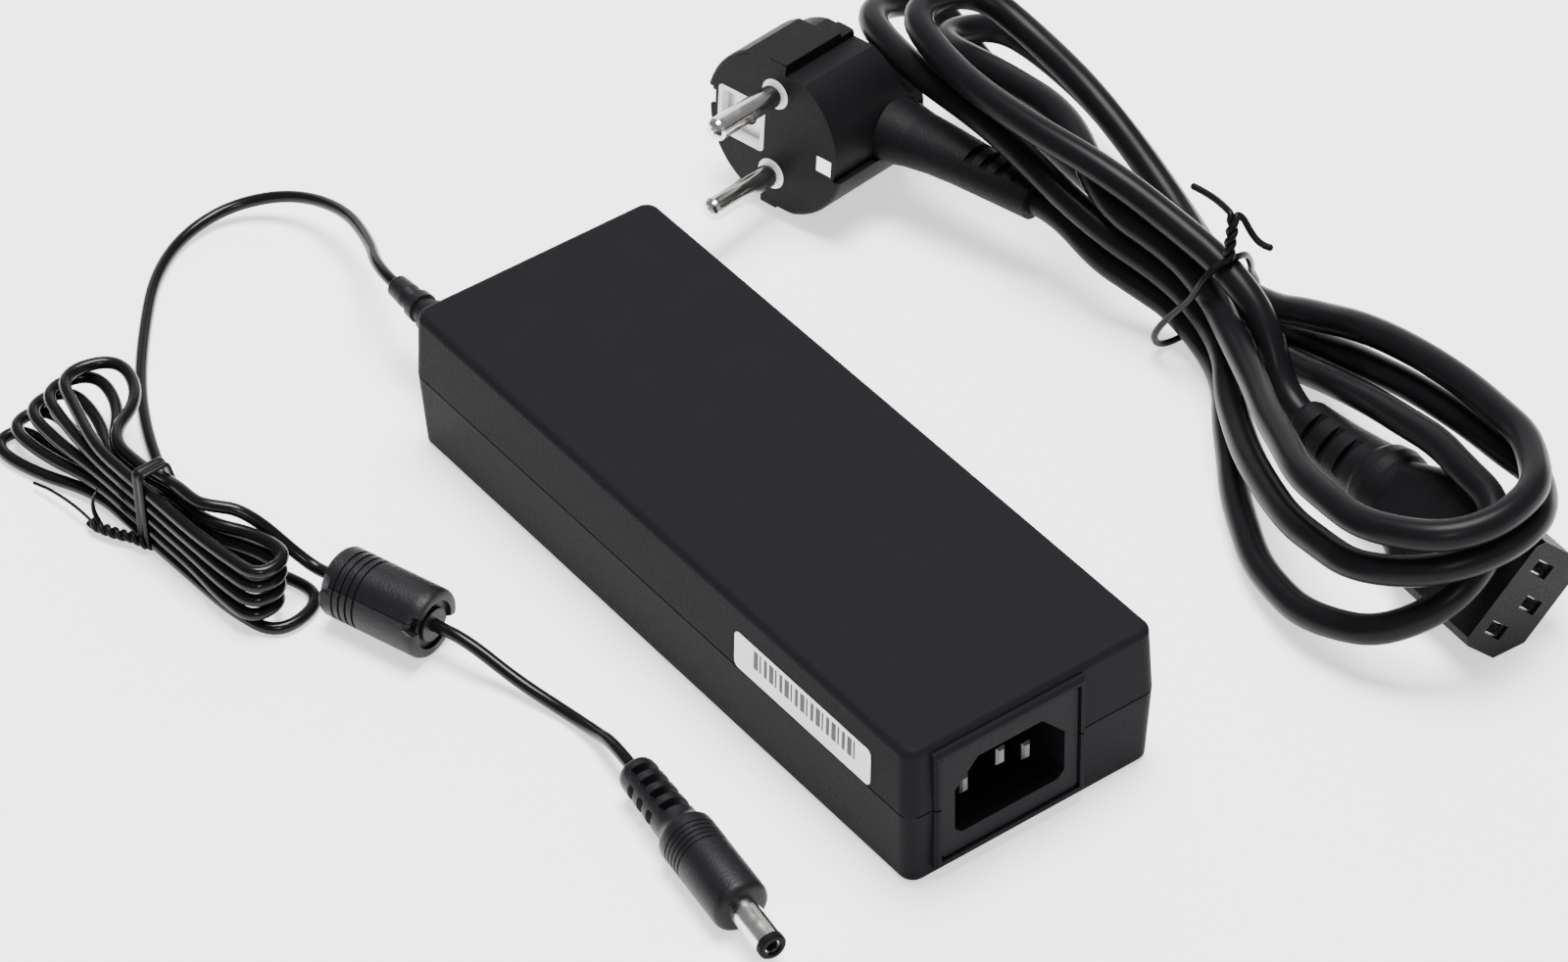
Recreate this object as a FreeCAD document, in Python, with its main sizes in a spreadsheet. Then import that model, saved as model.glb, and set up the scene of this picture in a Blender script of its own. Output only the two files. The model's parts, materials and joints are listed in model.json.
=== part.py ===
import FreeCAD
import Part
import Sketcher
import math
import os
from FreeCAD import Placement, Rotation, Vector

doc = FreeCAD.newDocument("power_adapter")
sheet = doc.addObject("Spreadsheet::Sheet", "sizes")
parts = []

# Driving sizes in millimetres and degrees
SIZES = {
    "case_width": 56.62,
    "case_length": 155.33,
    "case_height": 31.9,
    "parting_height": 17.11,
    "bottom_inset": 0.72,
    "top_inset": 0.63,
    "wall": 2.2,
    "corner_radius": 3.0,
    "top_edge": 1.6,
    "bottom_edge": 1.2,
    "lip_height": 1.2,
    "lip_width": 0.9,
    "lip_play": 0.1,
    "seam_groove": 0.3,
    "inlet_across": -5.98,
    "inlet_height": 16.44,
    "plate_width": 30.62,
    "plate_tall": 24.36,
    "plate_thick": 2.6,
    "plate_gap": 0.35,
    "frame_rim": 1.3,
    "frame_proud": 0.9,
    "socket_width": 24.7,
    "socket_low": 8.4,
    "socket_top": 24.86,
    "socket_flat": 14.4,
    "socket_shoulder": 19.34,
    "socket_depth": 17.0,
    "blade_wide": 2.0,
    "blade_tall": 4.0,
    "blade_pitch": 14.0,
    "blade_drop": 2.0,
    "board_level": 5.0,
    "board_thick": 1.6,
    "board_width": 50.0,
    "board_start": -52.0,
    "board_end": 70.0,
    "spreader_thick": 0.8,
    "dc_across": -16.5,
    "dc_cord": 2.5,
    "boot_hole": 8.4,
    "boot_length": 23.0,
    "ferrite_size": 14.0,
    "ferrite_length": 24.3,
    "plug_size": 11.0,
    "barrel_outer": 5.5,
    "barrel_inner": 2.5,
    "barrel_length": 9.6,
    "mains_cord": 6.0,
    "face_size": 35.8,
    "pin_size": 4.8,
    "pin_length": 19.0,
    "pin_pitch": 19.0,
    "plug_depth": 31.0,
    "connector_half_wide": 12.0,
    "connector_half_tall": 7.9,
    "connector_chamfer": 5.2,
    "connector_body": 23.0,
    "tie_wire": 1.3,
}


class Size(float):
    """A number that keeps the sheet formula it comes from."""

    def __new__(cls, number, formula):
        made = super().__new__(cls, number)
        made.formula = formula
        return made

    def __add__(self, other):
        return Size(float(self) + float(other), "(%s + %s)" % (self.formula, formula(other)))

    def __radd__(self, other):
        return Size(float(other) + float(self), "(%s + %s)" % (formula(other), self.formula))

    def __sub__(self, other):
        return Size(float(self) - float(other), "(%s - %s)" % (self.formula, formula(other)))

    def __rsub__(self, other):
        return Size(float(other) - float(self), "(%s - %s)" % (formula(other), self.formula))

    def __mul__(self, other):
        return Size(float(self) * float(other), "(%s * %s)" % (self.formula, formula(other)))

    __rmul__ = __mul__

    def __truediv__(self, other):
        return Size(float(self) / float(other), "(%s / %s)" % (self.formula, formula(other)))

    def __neg__(self):
        return Size(-float(self), "(-1 * %s)" % self.formula)


def formula(value):
    """Sheet formula of a size, or the digits of a plain number."""
    return value.formula if isinstance(value, Size) else "%.6f" % value


def fill_sheet():
    """Write every driving size to the sheet under its own name."""
    for row, (name, value) in enumerate(SIZES.items(), 1):
        sheet.set("A%d" % row, name)
        sheet.set("B%d" % row, str(value))
        sheet.setAlias("B%d" % row, name)
    doc.recompute()


fill_sheet()
size = {name: Size(sheet.get(name), "sizes." + name) for name in SIZES}


def at(value):
    """Plain number as a size, so that blocks can mix both."""
    return Size(value, "%.4f" % value)


def span(low, high):
    return (at(low), at(high))


def bind(item, prop, value):
    item.setExpression(prop, formula(value))


def seat(item, x=0.0, y=0.0, z=0.0, turn=None):
    """Place an object by sizes along the three axes."""
    if turn:
        item.Placement = Placement(Vector(), turn)
    for axis, value in zip("xyz", (x, y, z)):
        bind(item, ".Placement.Base." + axis, value)
    return item


def aimed(origin, along, up=Vector(0, 0, 1)):
    """Placement whose X axis runs along a direction, with Z as near up as it can be."""
    across = up.cross(along)
    return Placement(origin, Rotation(along, across, along.cross(across), "XZY"))


# Primitives and booleans
def block(x, y, z, name="block"):
    """Block between two sizes along each axis."""
    item = doc.addObject("Part::Box", name)
    for prop, (low, high) in zip(("Length", "Width", "Height"), (x, y, z)):
        bind(item, prop, high - low)
    return seat(item, x[0], y[0], z[0])


TURNS = {"x": Rotation(Vector(0, 1, 0), 90), "y": Rotation(Vector(1, 0, 0), -90), "z": None}


def rod(radius, length, x, y, z, axis="z", name="rod"):
    """Cylinder that starts at a point and runs along an axis."""
    item = doc.addObject("Part::Cylinder", name)
    bind(item, "Radius", radius)
    bind(item, "Height", length)
    return seat(item, x, y, z, TURNS[axis])


def fuse(*items):
    item = doc.addObject("Part::MultiFuse", "union")
    item.Shapes = list(items)
    return item


def group(*items):
    """Separate solids kept together in one sub-part."""
    item = doc.addObject("Part::Compound", "group")
    item.Links = list(items)
    return item


def cut(base, *tools):
    item = doc.addObject("Part::Cut", "cut")
    item.Base = base
    item.Tool = tools[0] if len(tools) == 1 else fuse(*tools)
    return item


def common(base, tool):
    item = doc.addObject("Part::Common", "common")
    item.Base = base
    item.Tool = tool
    return item


def rounded(base, radius, wanted):
    """Round the edges of a solid that a test picks."""
    doc.recompute()
    item = doc.addObject("Part::Fillet", "rounded")
    item.Base = base
    edges = base.Shape.Edges
    item.Edges = [(n, radius, radius) for n, edge in enumerate(edges, 1) if wanted(edge)]
    return item


def upright(edge):
    """True for a straight edge along Z."""
    return edge_runs(edge, "z")


def edge_runs(edge, axis):
    box = edge.BoundBox
    spans = {"x": box.XLength, "y": box.YLength, "z": box.ZLength}
    longest = spans.pop(axis)
    return longest > 0.5 and max(spans.values()) < 1e-4


def coded(shape, name="form"):
    """Object for a shape that is worked out here from the sheet's sizes."""
    item = doc.addObject("Part::Feature", name)
    item.Shape = shape
    return item


def keep(label, item, placement=None):
    """Name a finished sub-part, and place it."""
    item.Label = label
    if placement:
        item.Placement = placement
    parts.append(item)
    return item


# Sketched bodies
def sketch_on(body, role, offset=0.0):
    """Sketch on one of a body's own origin planes, lifted off it by a size."""
    plane = next(item for item in body.Origin.OriginFeatures if item.Role == role)
    sketch = body.newObject("Sketcher::SketchObject", "outline")
    sketch.AttachmentSupport = (plane, [""])
    sketch.MapMode = "FlatFace"
    bind(sketch, ".AttachmentOffset.Base.z", offset)
    return sketch


def outline(sketch, points):
    """Closed outline of straight lines through points given by sizes."""
    first = sketch.GeometryCount
    count = len(points)
    flat = [Vector(float(x), float(y), 0) for x, y in points]
    for n in range(count):
        sketch.addGeometry(Part.LineSegment(flat[n], flat[(n + 1) % count]), False)
    for n in range(count):
        sketch.addConstraint(Sketcher.Constraint("Coincident", first + n, 2, first + (n + 1) % count, 1))
    for n, (x, y) in enumerate(points):
        for kind, value in (("DistanceX", x), ("DistanceY", y)):
            number = sketch.addConstraint(Sketcher.Constraint(kind, -1, 1, first + n, 1, float(value)))
            if isinstance(value, Size):
                bind(sketch, "Constraints[%d]" % number, value)
    return sketch


def rectangle(sketch, x, y):
    return outline(sketch, [(x[0], y[0]), (x[1], y[0]), (x[1], y[1]), (x[0], y[1])])


def feature(body, kind, sketch, length, reverse=False):
    """Pad or pocket of a sketch."""
    item = body.newObject("PartDesign::" + kind, kind.lower())
    item.Profile = sketch
    item.Reversed = reverse
    bind(item, "Length", length)
    sketch.Visibility = False
    return item


def turned(name, profile):
    """Body turned about its X axis from a profile of distance and radius."""
    body = doc.addObject("PartDesign::Body", name)
    sketch = outline(sketch_on(body, "XY_Plane"), profile)
    item = body.newObject("PartDesign::Revolution", "turn")
    item.Profile = sketch
    item.ReferenceAxis = (sketch, ["H_Axis"])
    item.Angle = 360.0
    return body


def body_fillet(body, base, radius, wanted):
    doc.recompute()
    names = ["Edge%d" % n for n, edge in enumerate(base.Shape.Edges, 1) if wanted(edge)]
    item = body.newObject("PartDesign::Fillet", "fillet")
    item.Base = (base, names)
    bind(item, "Radius", radius)
    return item


# Casing
half_wide = size["case_width"] / 2
half_long = size["case_length"] / 2
parting = size["parting_height"]
front = -half_long


def cover_shell(name, inset, height, edge, floor_level, sign):
    """Drafted tray of one cover: open at the parting plane, with rounded corners and rim."""
    body = doc.addObject("PartDesign::Body", name)
    wide = half_wide - inset
    long = half_long - inset
    sketch = rectangle(sketch_on(body, "XY_Plane", floor_level), (-wide, wide), (-long, long))
    pad = feature(body, "Pad", sketch, height, reverse=sign < 0)
    bind(pad, "TaperAngle", Size(math.degrees(math.atan(inset / height)),
                                 "atan(%s / %s)" % (formula(inset), formula(height))))
    corners = body_fillet(body, pad, size["corner_radius"], lambda e: e.BoundBox.ZLength > 5)
    flat = floor_level
    rim = body_fillet(body, corners, edge,
                      lambda e: abs(e.BoundBox.ZMax - flat) < 0.01 and abs(e.BoundBox.ZMin - flat) < 0.01)
    wall = size["wall"]
    inner = rectangle(sketch_on(body, "XY_Plane", parting), (wall - half_wide, half_wide - wall),
                      (wall - half_long, half_long - wall))
    pocket = feature(body, "Pocket", inner, height - wall, reverse=sign < 0)
    body.Tip = body_fillet(body, pocket, size["bottom_edge"], inner_corner)
    return body


def inner_corner(edge):
    """True for the upright corners of a cover's cavity."""
    box = edge.BoundBox
    return box.ZLength > 5 and box.XLength < 1e-3 and abs(abs(box.XMax) - (half_wide - size["wall"])) < 0.01


def ring(inside, outside, z):
    """Rectangular ring between two distances in from the sides of the casing."""
    outer = block((outside - half_wide, half_wide - outside), (outside - half_long, half_long - outside), z)
    inner = block((inside - half_wide, half_wide - inside), (inside - half_long, half_long - inside),
                  (z[0] - 1.0, z[1] + 1.0))
    return cut(outer, inner)


def seam(z):
    """Shallow step round the outside edge of a cover at the parting plane."""
    return ring(size["seam_groove"], -1.0 * size["wall"], z)


def inlet_frame(z):
    """Raised border round the inlet's plate, between two levels."""
    gap = size["plate_gap"]
    rim = size["frame_rim"]
    x = size["inlet_across"]
    wide = size["plate_width"] / 2 + gap
    tall = size["plate_tall"] / 2 + gap
    level = size["inlet_height"]
    outer = block((x - wide - rim, x + wide + rim), (front - size["frame_proud"], front + size["wall"]),
                  (level - tall - rim, level + tall + rim))
    outside = front - size["frame_proud"]
    bevel = doc_chamfer(outer, 0.6, lambda e: abs(e.BoundBox.YMax - outside) < 1e-3)
    half = block((x - 40.0, x + 40.0), (front - 5.0, front + 5.0), z)
    return common(bevel, half)


def doc_chamfer(base, length, wanted):
    doc.recompute()
    item = doc.addObject("Part::Chamfer", "bevel")
    item.Base = base
    edges = base.Shape.Edges
    item.Edges = [(n, length, length) for n, edge in enumerate(edges, 1) if wanted(edge)]
    return item


def inlet_window():
    """Opening for the inlet's plate in the end wall of both covers."""
    gap = size["plate_gap"]
    x = size["inlet_across"]
    wide = size["plate_width"] / 2 + gap
    tall = size["plate_tall"] / 2 + gap
    level = size["inlet_height"]
    return block((x - wide, x + wide), (front - 3.0, front + size["wall"] + 1.0), (level - tall, level + tall))


def boot_hole():
    """Round hole on the parting plane for the neck of the strain relief."""
    return rod(size["boot_hole"] / 2, size["wall"] + 4.0, size["dc_across"],
               half_long - size["wall"] - 2.0, parting, "y")


def board_posts():
    """Posts that carry the circuit board."""
    posts = []
    for x in (-20.0, 20.0):
        for y in (size["board_start"] + 6.0, size["board_end"] - 6.0):
            tall = size["board_level"] - size["wall"] + 0.2
            posts.append(rod(at(2.0), tall, at(x), at(y), size["wall"] - 0.2))
    return posts


def bottom_cover():
    shell = cover_shell("bottom_shell", size["bottom_inset"], parting, size["bottom_edge"], at(0.0), 1)
    lip = ring(size["wall"], size["wall"] - size["lip_width"],
               (parting - 1.0, parting + size["lip_height"]))
    body = fuse(shell, lip, inlet_frame((at(0.0), parting)), *board_posts())
    recess = rounded(block(span(-18.0, 18.0), span(-45.0, 45.0), span(-1.0, 0.4)), 2.0, upright)
    groove = seam((parting - 0.35, parting + 0.5))
    keep("bottom_cover", cut(body, groove, inlet_window(), boot_hole(), recess))


def top_cover():
    height = size["case_height"] - parting
    shell = cover_shell("top_shell", size["top_inset"], height, size["top_edge"], size["case_height"], -1)
    rebate = ring(size["wall"] + 1.0, size["wall"] - size["lip_width"] - size["lip_play"],
                  (parting - 1.0, parting + size["lip_height"] + size["lip_play"]))
    body = fuse(shell, inlet_frame((parting, size["case_height"])))
    keep("top_cover", cut(body, rebate, inlet_window(), boot_hole()))


# Mains inlet
def inlet_housing():
    """Moulded inlet: plate, shroud and the six-sided cavity round the blades."""
    body = doc.addObject("PartDesign::Body", "inlet")
    x = size["inlet_across"]
    level = size["inlet_height"]
    wide = size["plate_width"] / 2
    tall = size["plate_tall"] / 2
    plate = rectangle(sketch_on(body, "XZ_Plane", half_long - size["plate_thick"] + 0.4), (x - wide, x + wide),
                      (level - tall, level + tall))
    plate_pad = feature(body, "Pad", plate, size["plate_thick"])
    corners = body_fillet(body, plate_pad, at(1.2), lambda e: edge_runs(e, "y"))
    body.Tip = corners
    skin = 1.5
    sides = size["socket_width"] / 2
    shroud = rectangle(sketch_on(body, "XZ_Plane", half_long - size["socket_depth"] - skin),
                       (x - sides - skin, x + sides + skin),
                       (size["socket_low"] - skin, size["socket_top"] + skin))
    body.Tip = feature(body, "Pad", shroud, size["socket_depth"])
    flat = size["socket_flat"] / 2
    mouth = outline(sketch_on(body, "XZ_Plane", half_long + 1.0), [
        (x - sides, size["socket_low"] + 1.5), (x - sides + 1.5, size["socket_low"]),
        (x + sides - 1.5, size["socket_low"]), (x + sides, size["socket_low"] + 1.5),
        (x + sides, size["socket_shoulder"]), (x + flat, size["socket_top"]),
        (x - flat, size["socket_top"]), (x - sides, size["socket_shoulder"])])
    body.Tip = feature(body, "Pocket", mouth, size["socket_depth"] + 1.0)
    holes = [inlet_blade(n) for n in range(3)]
    keep("inlet_housing", cut(body, *holes))


def inlet_blade(number):
    """One flat blade with the tail that goes down into the circuit board."""
    x = size["inlet_across"] + (number - 1) * size["blade_pitch"] / 2
    middle = (size["socket_low"] + size["socket_top"]) / 2
    z = middle + (size["blade_drop"] if number == 1 else -size["blade_drop"])
    reach = front + (2.0 if number == 1 else 3.5)
    root = front + size["socket_depth"] + 4.5
    wide = size["blade_wide"] / 2
    tall = size["blade_tall"] / 2
    bar = block((x - wide, x + wide), (reach, root + 4.0), (z - tall, z + tall))
    bevel = doc_chamfer(bar, 0.5, lambda e: abs(e.BoundBox.YMax - float(reach)) < 1e-3)
    tail = block((x - wide, x + wide), (root, root + 4.0),
                 (size["board_level"] + size["board_thick"], z))
    return fuse(bevel, tail)


def inlet_blades():
    for number, name in enumerate(("inlet_neutral_blade", "inlet_earth_blade", "inlet_line_blade")):
        keep(name, inlet_blade(number))


# Circuit board and what stands on it
deck = size["board_level"] + size["board_thick"]


def circuit_board():
    half = size["board_width"] / 2
    body = doc.addObject("PartDesign::Body", "board")
    sketch = rectangle(sketch_on(body, "XY_Plane", size["board_level"]), (-half, half),
                       (size["board_start"], size["board_end"]))
    pad = feature(body, "Pad", sketch, size["board_thick"])
    body.Tip = body_fillet(body, pad, at(1.5), upright)
    keep("circuit_board", body)


def heat_spreaders():
    """Thin metal plates against the inside of both covers, and the sheet under the board."""
    wall = size["wall"]
    thick = size["spreader_thick"]
    wide = half_wide - wall - 1.8
    lower = block((-wide, wide), (size["board_start"] + 11.0, size["board_end"] - 11.0), (wall, wall + thick))
    keep("bottom_heat_spreader", lower)
    top = size["case_height"] - wall
    upper = block((-wide, wide), (size["board_start"] + 2.0, size["board_end"]), (top - thick, top))
    keep("top_heat_spreader", upper)
    sheet_under = block((-wide, wide), (size["board_start"] + 11.0, size["board_end"] - 11.0),
                        (wall + thick, wall + thick + 0.4))
    keep("insulation_sheet", sheet_under)


def fuse_link():
    tube = rod(at(2.6), at(16.0), at(-21.0), at(-45.5), deck + 2.6, "x")
    caps = [rod(at(2.9), at(4.0), at(x), at(-45.5), deck + 2.9, "x") for x in (-21.5, -8.5)]
    keep("fuse", fuse(tube, *caps))


def mains_choke():
    """Toroid on edge with two windings."""
    x, y, height = at(11.0), at(-42.0), deck + 9.5
    core = cut(rod(at(8.0), at(6.0), x, y - 3.0, height, "y"), rod(at(4.6), at(8.0), x, y - 4.0, height, "y"))
    keep("choke_core", core)
    tube = cut(rod(at(9.5), at(9.0), x, y - 4.5, height, "y"), rod(at(3.1), at(11.0), x, y - 5.5, height, "y"),
               rod(at(8.0), at(6.0), x, y - 3.0, height, "y"))
    gap = block((x - 2.2, x + 2.2), (y - 6.0, y + 6.0), (height - 12.0, height + 12.0))
    keep("choke_windings", cut(tube, gap))


def capacitors():
    film = rounded(block(span(-22.0, -4.0), span(-38.0, -29.0), (deck, deck + 15.0)), 1.0, upright)
    keep("x_capacitor", film)
    keep("bulk_capacitor", doc_chamfer(rod(at(9.0), at(31.5), at(-14.0), at(-19.5), deck + 9.0, "y"), 0.9,
                                       lambda e: e.BoundBox.YLength < 1e-3))
    cans = [doc_chamfer(rod(at(5.0), at(20.0), at(x), at(60.0), deck), 0.6, lambda e: e.BoundBox.ZLength < 1e-3)
            for x in (-17.0, -5.0)]
    keep("output_capacitors", group(*cans))
    keep("y_capacitor", rounded(block(span(-1.5, 2.5), span(13.0, 22.0), (deck, deck + 9.0)), 1.5,
                                lambda e: edge_runs(e, "x")))


def bridge_rectifier():
    block_body = doc_chamfer(block(span(-2.0, 20.0), span(-30.5, -26.7), (deck + 3.0, deck + 18.0)), 1.0,
                             lambda e: edge_runs(e, "y") and e.BoundBox.ZMin > 20)
    legs = [block((at(x), at(x + 1.0)), span(-29.1, -28.1), (deck, deck + 3.5)) for x in (0.0, 6.0, 12.0, 17.0)]
    keep("bridge_rectifier", fuse(block_body, *legs))


def heatsink(label, x, y, foot, screw):
    """Folded plate standing on the board, with its foot turned to one side."""
    plate = block((at(x), at(x + 2.0)), (at(y[0]), at(y[1])), (deck, deck + 20.5))
    base = block((at(x), at(x + 2.0 + foot)) if foot > 0 else (at(x + foot), at(x + 2.0)),
                 (at(y[0]), at(y[1])), (deck, deck + 2.0))
    hole = rod(at(1.6), at(4.0), at(x - 1.0), at(screw), deck + 15.7, "x")
    keep(label, cut(fuse(plate, base), hole))


def power_device(label, x, y):
    """Moulded device with a metal tab, three legs, and its flat back on a heatsink."""
    mould = block((at(x - 3.2), at(x)), (at(y - 5.0), at(y + 5.0)), (deck + 4.0, deck + 12.5))
    tab = block((at(x - 1.3), at(x)), (at(y - 5.0), at(y + 5.0)), (deck + 12.5, deck + 18.5))
    hole = rod(at(1.6), at(3.0), at(x - 2.0), at(y), deck + 15.7, "x")
    legs = [block((at(x - 2.2), at(x - 1.6)), (at(y + step - 0.4), at(y + step + 0.4)), (deck, deck + 4.0))
            for step in (-2.54, 0.0, 2.54)]
    keep(label, cut(fuse(mould, tab, *legs), hole))


def power_parts():
    heatsink("primary_heatsink", 22.0, (-22.0, 18.0), 1.8, -10.0)
    power_device("switching_transistor", 22.0, -10.0)
    heatsink("secondary_heatsink", 22.0, (26.0, 62.0), 1.8, 50.0)
    power_device("output_rectifier", 22.0, 50.0)
    screws = []
    for y in (-10.0, 50.0):
        shank = rod(at(1.5), at(4.6), at(19.4), at(y), deck + 15.7, "x")
        head = rod(at(2.7), at(1.8), at(18.9), at(y), deck + 15.7, "x")
        screws.append(fuse(shank, head))
    keep("heatsink_screws", group(*screws))


def transformer():
    """Two E-shaped core halves round a wound former."""
    x, y = 0.0, 34.0
    low = deck + 1.5
    tall = 17.0
    ring_block = cut(block(span(x - 15.0, x + 15.0), span(y - 12.0, y + 12.0), (low, low + tall)),
                     block(span(x - 11.0, x + 11.0), span(y - 8.5, y + 8.5), (low - 1.0, low + tall + 1.0)))
    leg = block(span(x - 4.0, x + 4.0), span(y - 9.0, y + 9.0), (low, low + tall))
    keep("transformer_core", fuse(ring_block, leg))
    coil = block(span(x - 10.6, x + 10.6), span(y - 8.5, y + 8.5), (low - 0.2, low + tall + 2.0))
    former = block(span(x - 10.6, x + 10.6), span(y - 8.5, y + 8.5), (deck, low))
    hollow = block(span(x - 4.0, x + 4.0), span(y - 10.0, y + 10.0), (low, low + tall))
    keep("transformer_coil", cut(fuse(rounded(coil, 2.0, upright), former), hollow))


def small_parts():
    keep("optocoupler", fuse(block(span(-24.0, -17.5), span(14.5, 19.5), (deck + 0.8, deck + 4.3)),
                             *[block((at(x), at(x + 0.5)), (at(y), at(y + 0.6)), (deck, deck + 2.0))
                               for x in (-24.5, -17.5) for y in (15.2, 18.0)]))
    choke = cut(rod(at(7.6), at(4.8), at(9.0), at(62.0), deck),
                rod(at(2.8), at(6.0), at(9.0), at(62.0), deck - 0.5))
    keep("output_choke", doc_chamfer(choke, 1.4, lambda e: e.BoundBox.ZLength < 1e-3))
    keep("control_chip", fuse(block(span(-21.0, -17.0), span(26.0, 31.0), (deck + 0.2, deck + 1.7)),
                              *[block((at(x), at(x + 1.0)), (at(26.4 + 1.2 * n), at(26.9 + 1.2 * n)),
                                      (deck, deck + 0.6)) for x in (-22.0, -17.0) for n in range(4)]))


# Cords
def tube_path(points):
    """Straight runs joined by arcs as large as the two runs beside each point allow."""
    places = [Vector(*point) for point in points]
    edges = []
    start = places[0]
    radii = []
    for before, corner, after in zip(places, places[1:], places[2:]):
        into = corner - before
        out = after - corner
        half = into.getAngle(out) / 2
        reach = 0.45 * min(into.Length, out.Length)
        radii.append(reach / math.tan(half))
        into.normalize()
        out.normalize()
        first = corner - into * reach
        last = corner + out * reach
        inward = out - into
        inward.normalize()
        middle = corner + inward * (radii[-1] * (1 / math.cos(half) - 1))
        edges.append(Part.LineSegment(start, first).toShape())
        edges.append(Part.Arc(first, middle, last).toShape())
        start = last
    edges.append(Part.LineSegment(start, places[-1]).toShape())
    return Part.Wire(edges), radii


def section(place, along, diameter, sides):
    """Section of a cord across a direction, as a polygon of equal sides."""
    turn = Rotation(Vector(0, 0, 1), along)
    corners = [place + turn.multVec(Vector(math.cos(angle), math.sin(angle), 0)) * (diameter / 2)
               for angle in (2 * math.pi * (n + 0.5) / sides for n in range(sides + 1))]
    return Part.makePolygon(corners)


def swept(wire, start, along, diameter, sides):
    """Cord along a wire of lines and arcs."""
    return wire.makePipeShell([section(start, along, diameter, sides)], True, False)


def tube(label, points, diameter):
    """Free stretch of cord as one tube."""
    wire, radii = tube_path(points)
    start = Vector(*points[0])
    solid = swept(wire, start, Vector(*points[1]) - start, diameter, SIDES)
    report(label, solid, wire, diameter)
    print(label, "radii", [round(radius, 1) for radius in radii])
    return keep(label, coded(solid))


def report(label, solid, wire, diameter):
    expected = math.pi * diameter ** 2 / 4 * wire.Length
    print(label, "length", round(wire.Length, 1), "volume over section times length",
          round(solid.Volume / expected, 4))


def biarc(start, out, end, into):
    """Two arcs that leave one point along a direction and reach another along a second one."""
    gap = end - start
    both = out + into
    bend = 2 * (1 - out.dot(into))
    if bend < 1e-9:
        reach = gap.dot(gap) / (4 * gap.dot(into))
    else:
        reach = (math.sqrt(gap.dot(both) ** 2 + bend * gap.dot(gap)) - gap.dot(both)) / bend
    middle = (start + end + (out - into) * reach) / 2
    return [arc(start, out, middle), arc(middle, (middle - (end - into * reach)) * -1, end)]


def arc(start, out, end):
    """Arc, or line, from a point along a direction to another point."""
    chord = end - start
    along = Vector(chord).normalize()
    out = Vector(out).normalize()
    side = out - along * out.dot(along)
    if side.Length < 1e-7:
        return Part.LineSegment(start, end).toShape(), 1e6
    angle = math.atan2(side.Length, out.dot(along))
    side.normalize()
    middle = (start + end) / 2 + side * (chord.Length / 2 * math.tan(angle / 2))
    return Part.Arc(start, middle, end).toShape(), chord.Length / (2 * math.sin(angle))


def station(place, direction):
    return place, Vector(direction).normalize()


def wound(label, stations, diameter, neighbour):
    """Unbroken tube through stations, with its least gap to itself measured on points."""
    edges = []
    radii = []
    for (start, out), (end, into) in zip(stations, stations[1:]):
        for edge, radius in biarc(start, out, end, into):
            edges.append(edge)
            radii.append(radius)
    wire = Part.Wire(edges)
    solid = swept(wire, stations[0][0], stations[0][1], diameter, SIDES)
    report(label, solid, wire, diameter)
    print(label, "least radius", round(min(radii), 2), "least gap", *least_gap(edges, diameter, neighbour))
    return keep(label, coded(solid))


def least_gap(edges, diameter, neighbour):
    """Smallest clear distance between turns, on points along the whole cord, and where it is."""
    points = []
    for edge in edges:
        count = max(2, int(edge.Length / (0.25 * diameter)))
        points += edge.discretize(Number=count + 1)[:-1]
    travelled = [0.0]
    for one, other in zip(points, points[1:]):
        travelled.append(travelled[-1] + (other - one).Length)
    least, where = 1e9, None
    for n, place in enumerate(points):
        for other in range(n + 1, len(points)):
            if travelled[other] - travelled[n] > neighbour:
                apart = (points[other] - place).Length
                if apart < least:
                    least, where = apart, place
    return round(least - diameter, 3), [round(value, 1) for value in where]


# DC lead
DC_ARCH = [
    (-16.5, 100.67, 17.11), (-16.5, 107.4, 17.11), (-10.9, 118.4, 13.4), (-6.6, 134.2, 9.6), (-9.6, 148.6, 6.0),
    (-19.5, 156.4, 3.2), (-31.5, 156.2, 1.5), (-42.8, 149.0, 1.3), (-52.6, 137.2, 1.3), (-62.6, 123.2, 1.3),
    (-69.6, 109.6, 1.28), (-73.8, 97.2, 1.27),
]
DC_LEAD = [(-79.6, 67.6, 17.3), (-75.2, 63.2, 17.0), (-68.83, 53.43, 7.0), (-67.1, 48.1, 7.0)]
DC_TAIL = [
    (-59.6, 25.0, 7.0), (-57.3, 17.9, 7.0), (-53.8, 7.0, 2.9), (-50.6, -4.4, 1.4), (-49.9, -12.5, 2.4),
    (-50.85, -19.6, 5.5), (-51.9, -27.5, 5.5),
]
FERRITE_START = Vector(-67.1, 48.1, 7.0)
FERRITE_END = Vector(-59.6, 25.0, 7.0)
DC_LOOPS = 5
SIDES = 8
DC_WAIST = Vector(-84.0, 82.5, 0.0)
DC_HEADING = math.radians(93.0)


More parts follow.
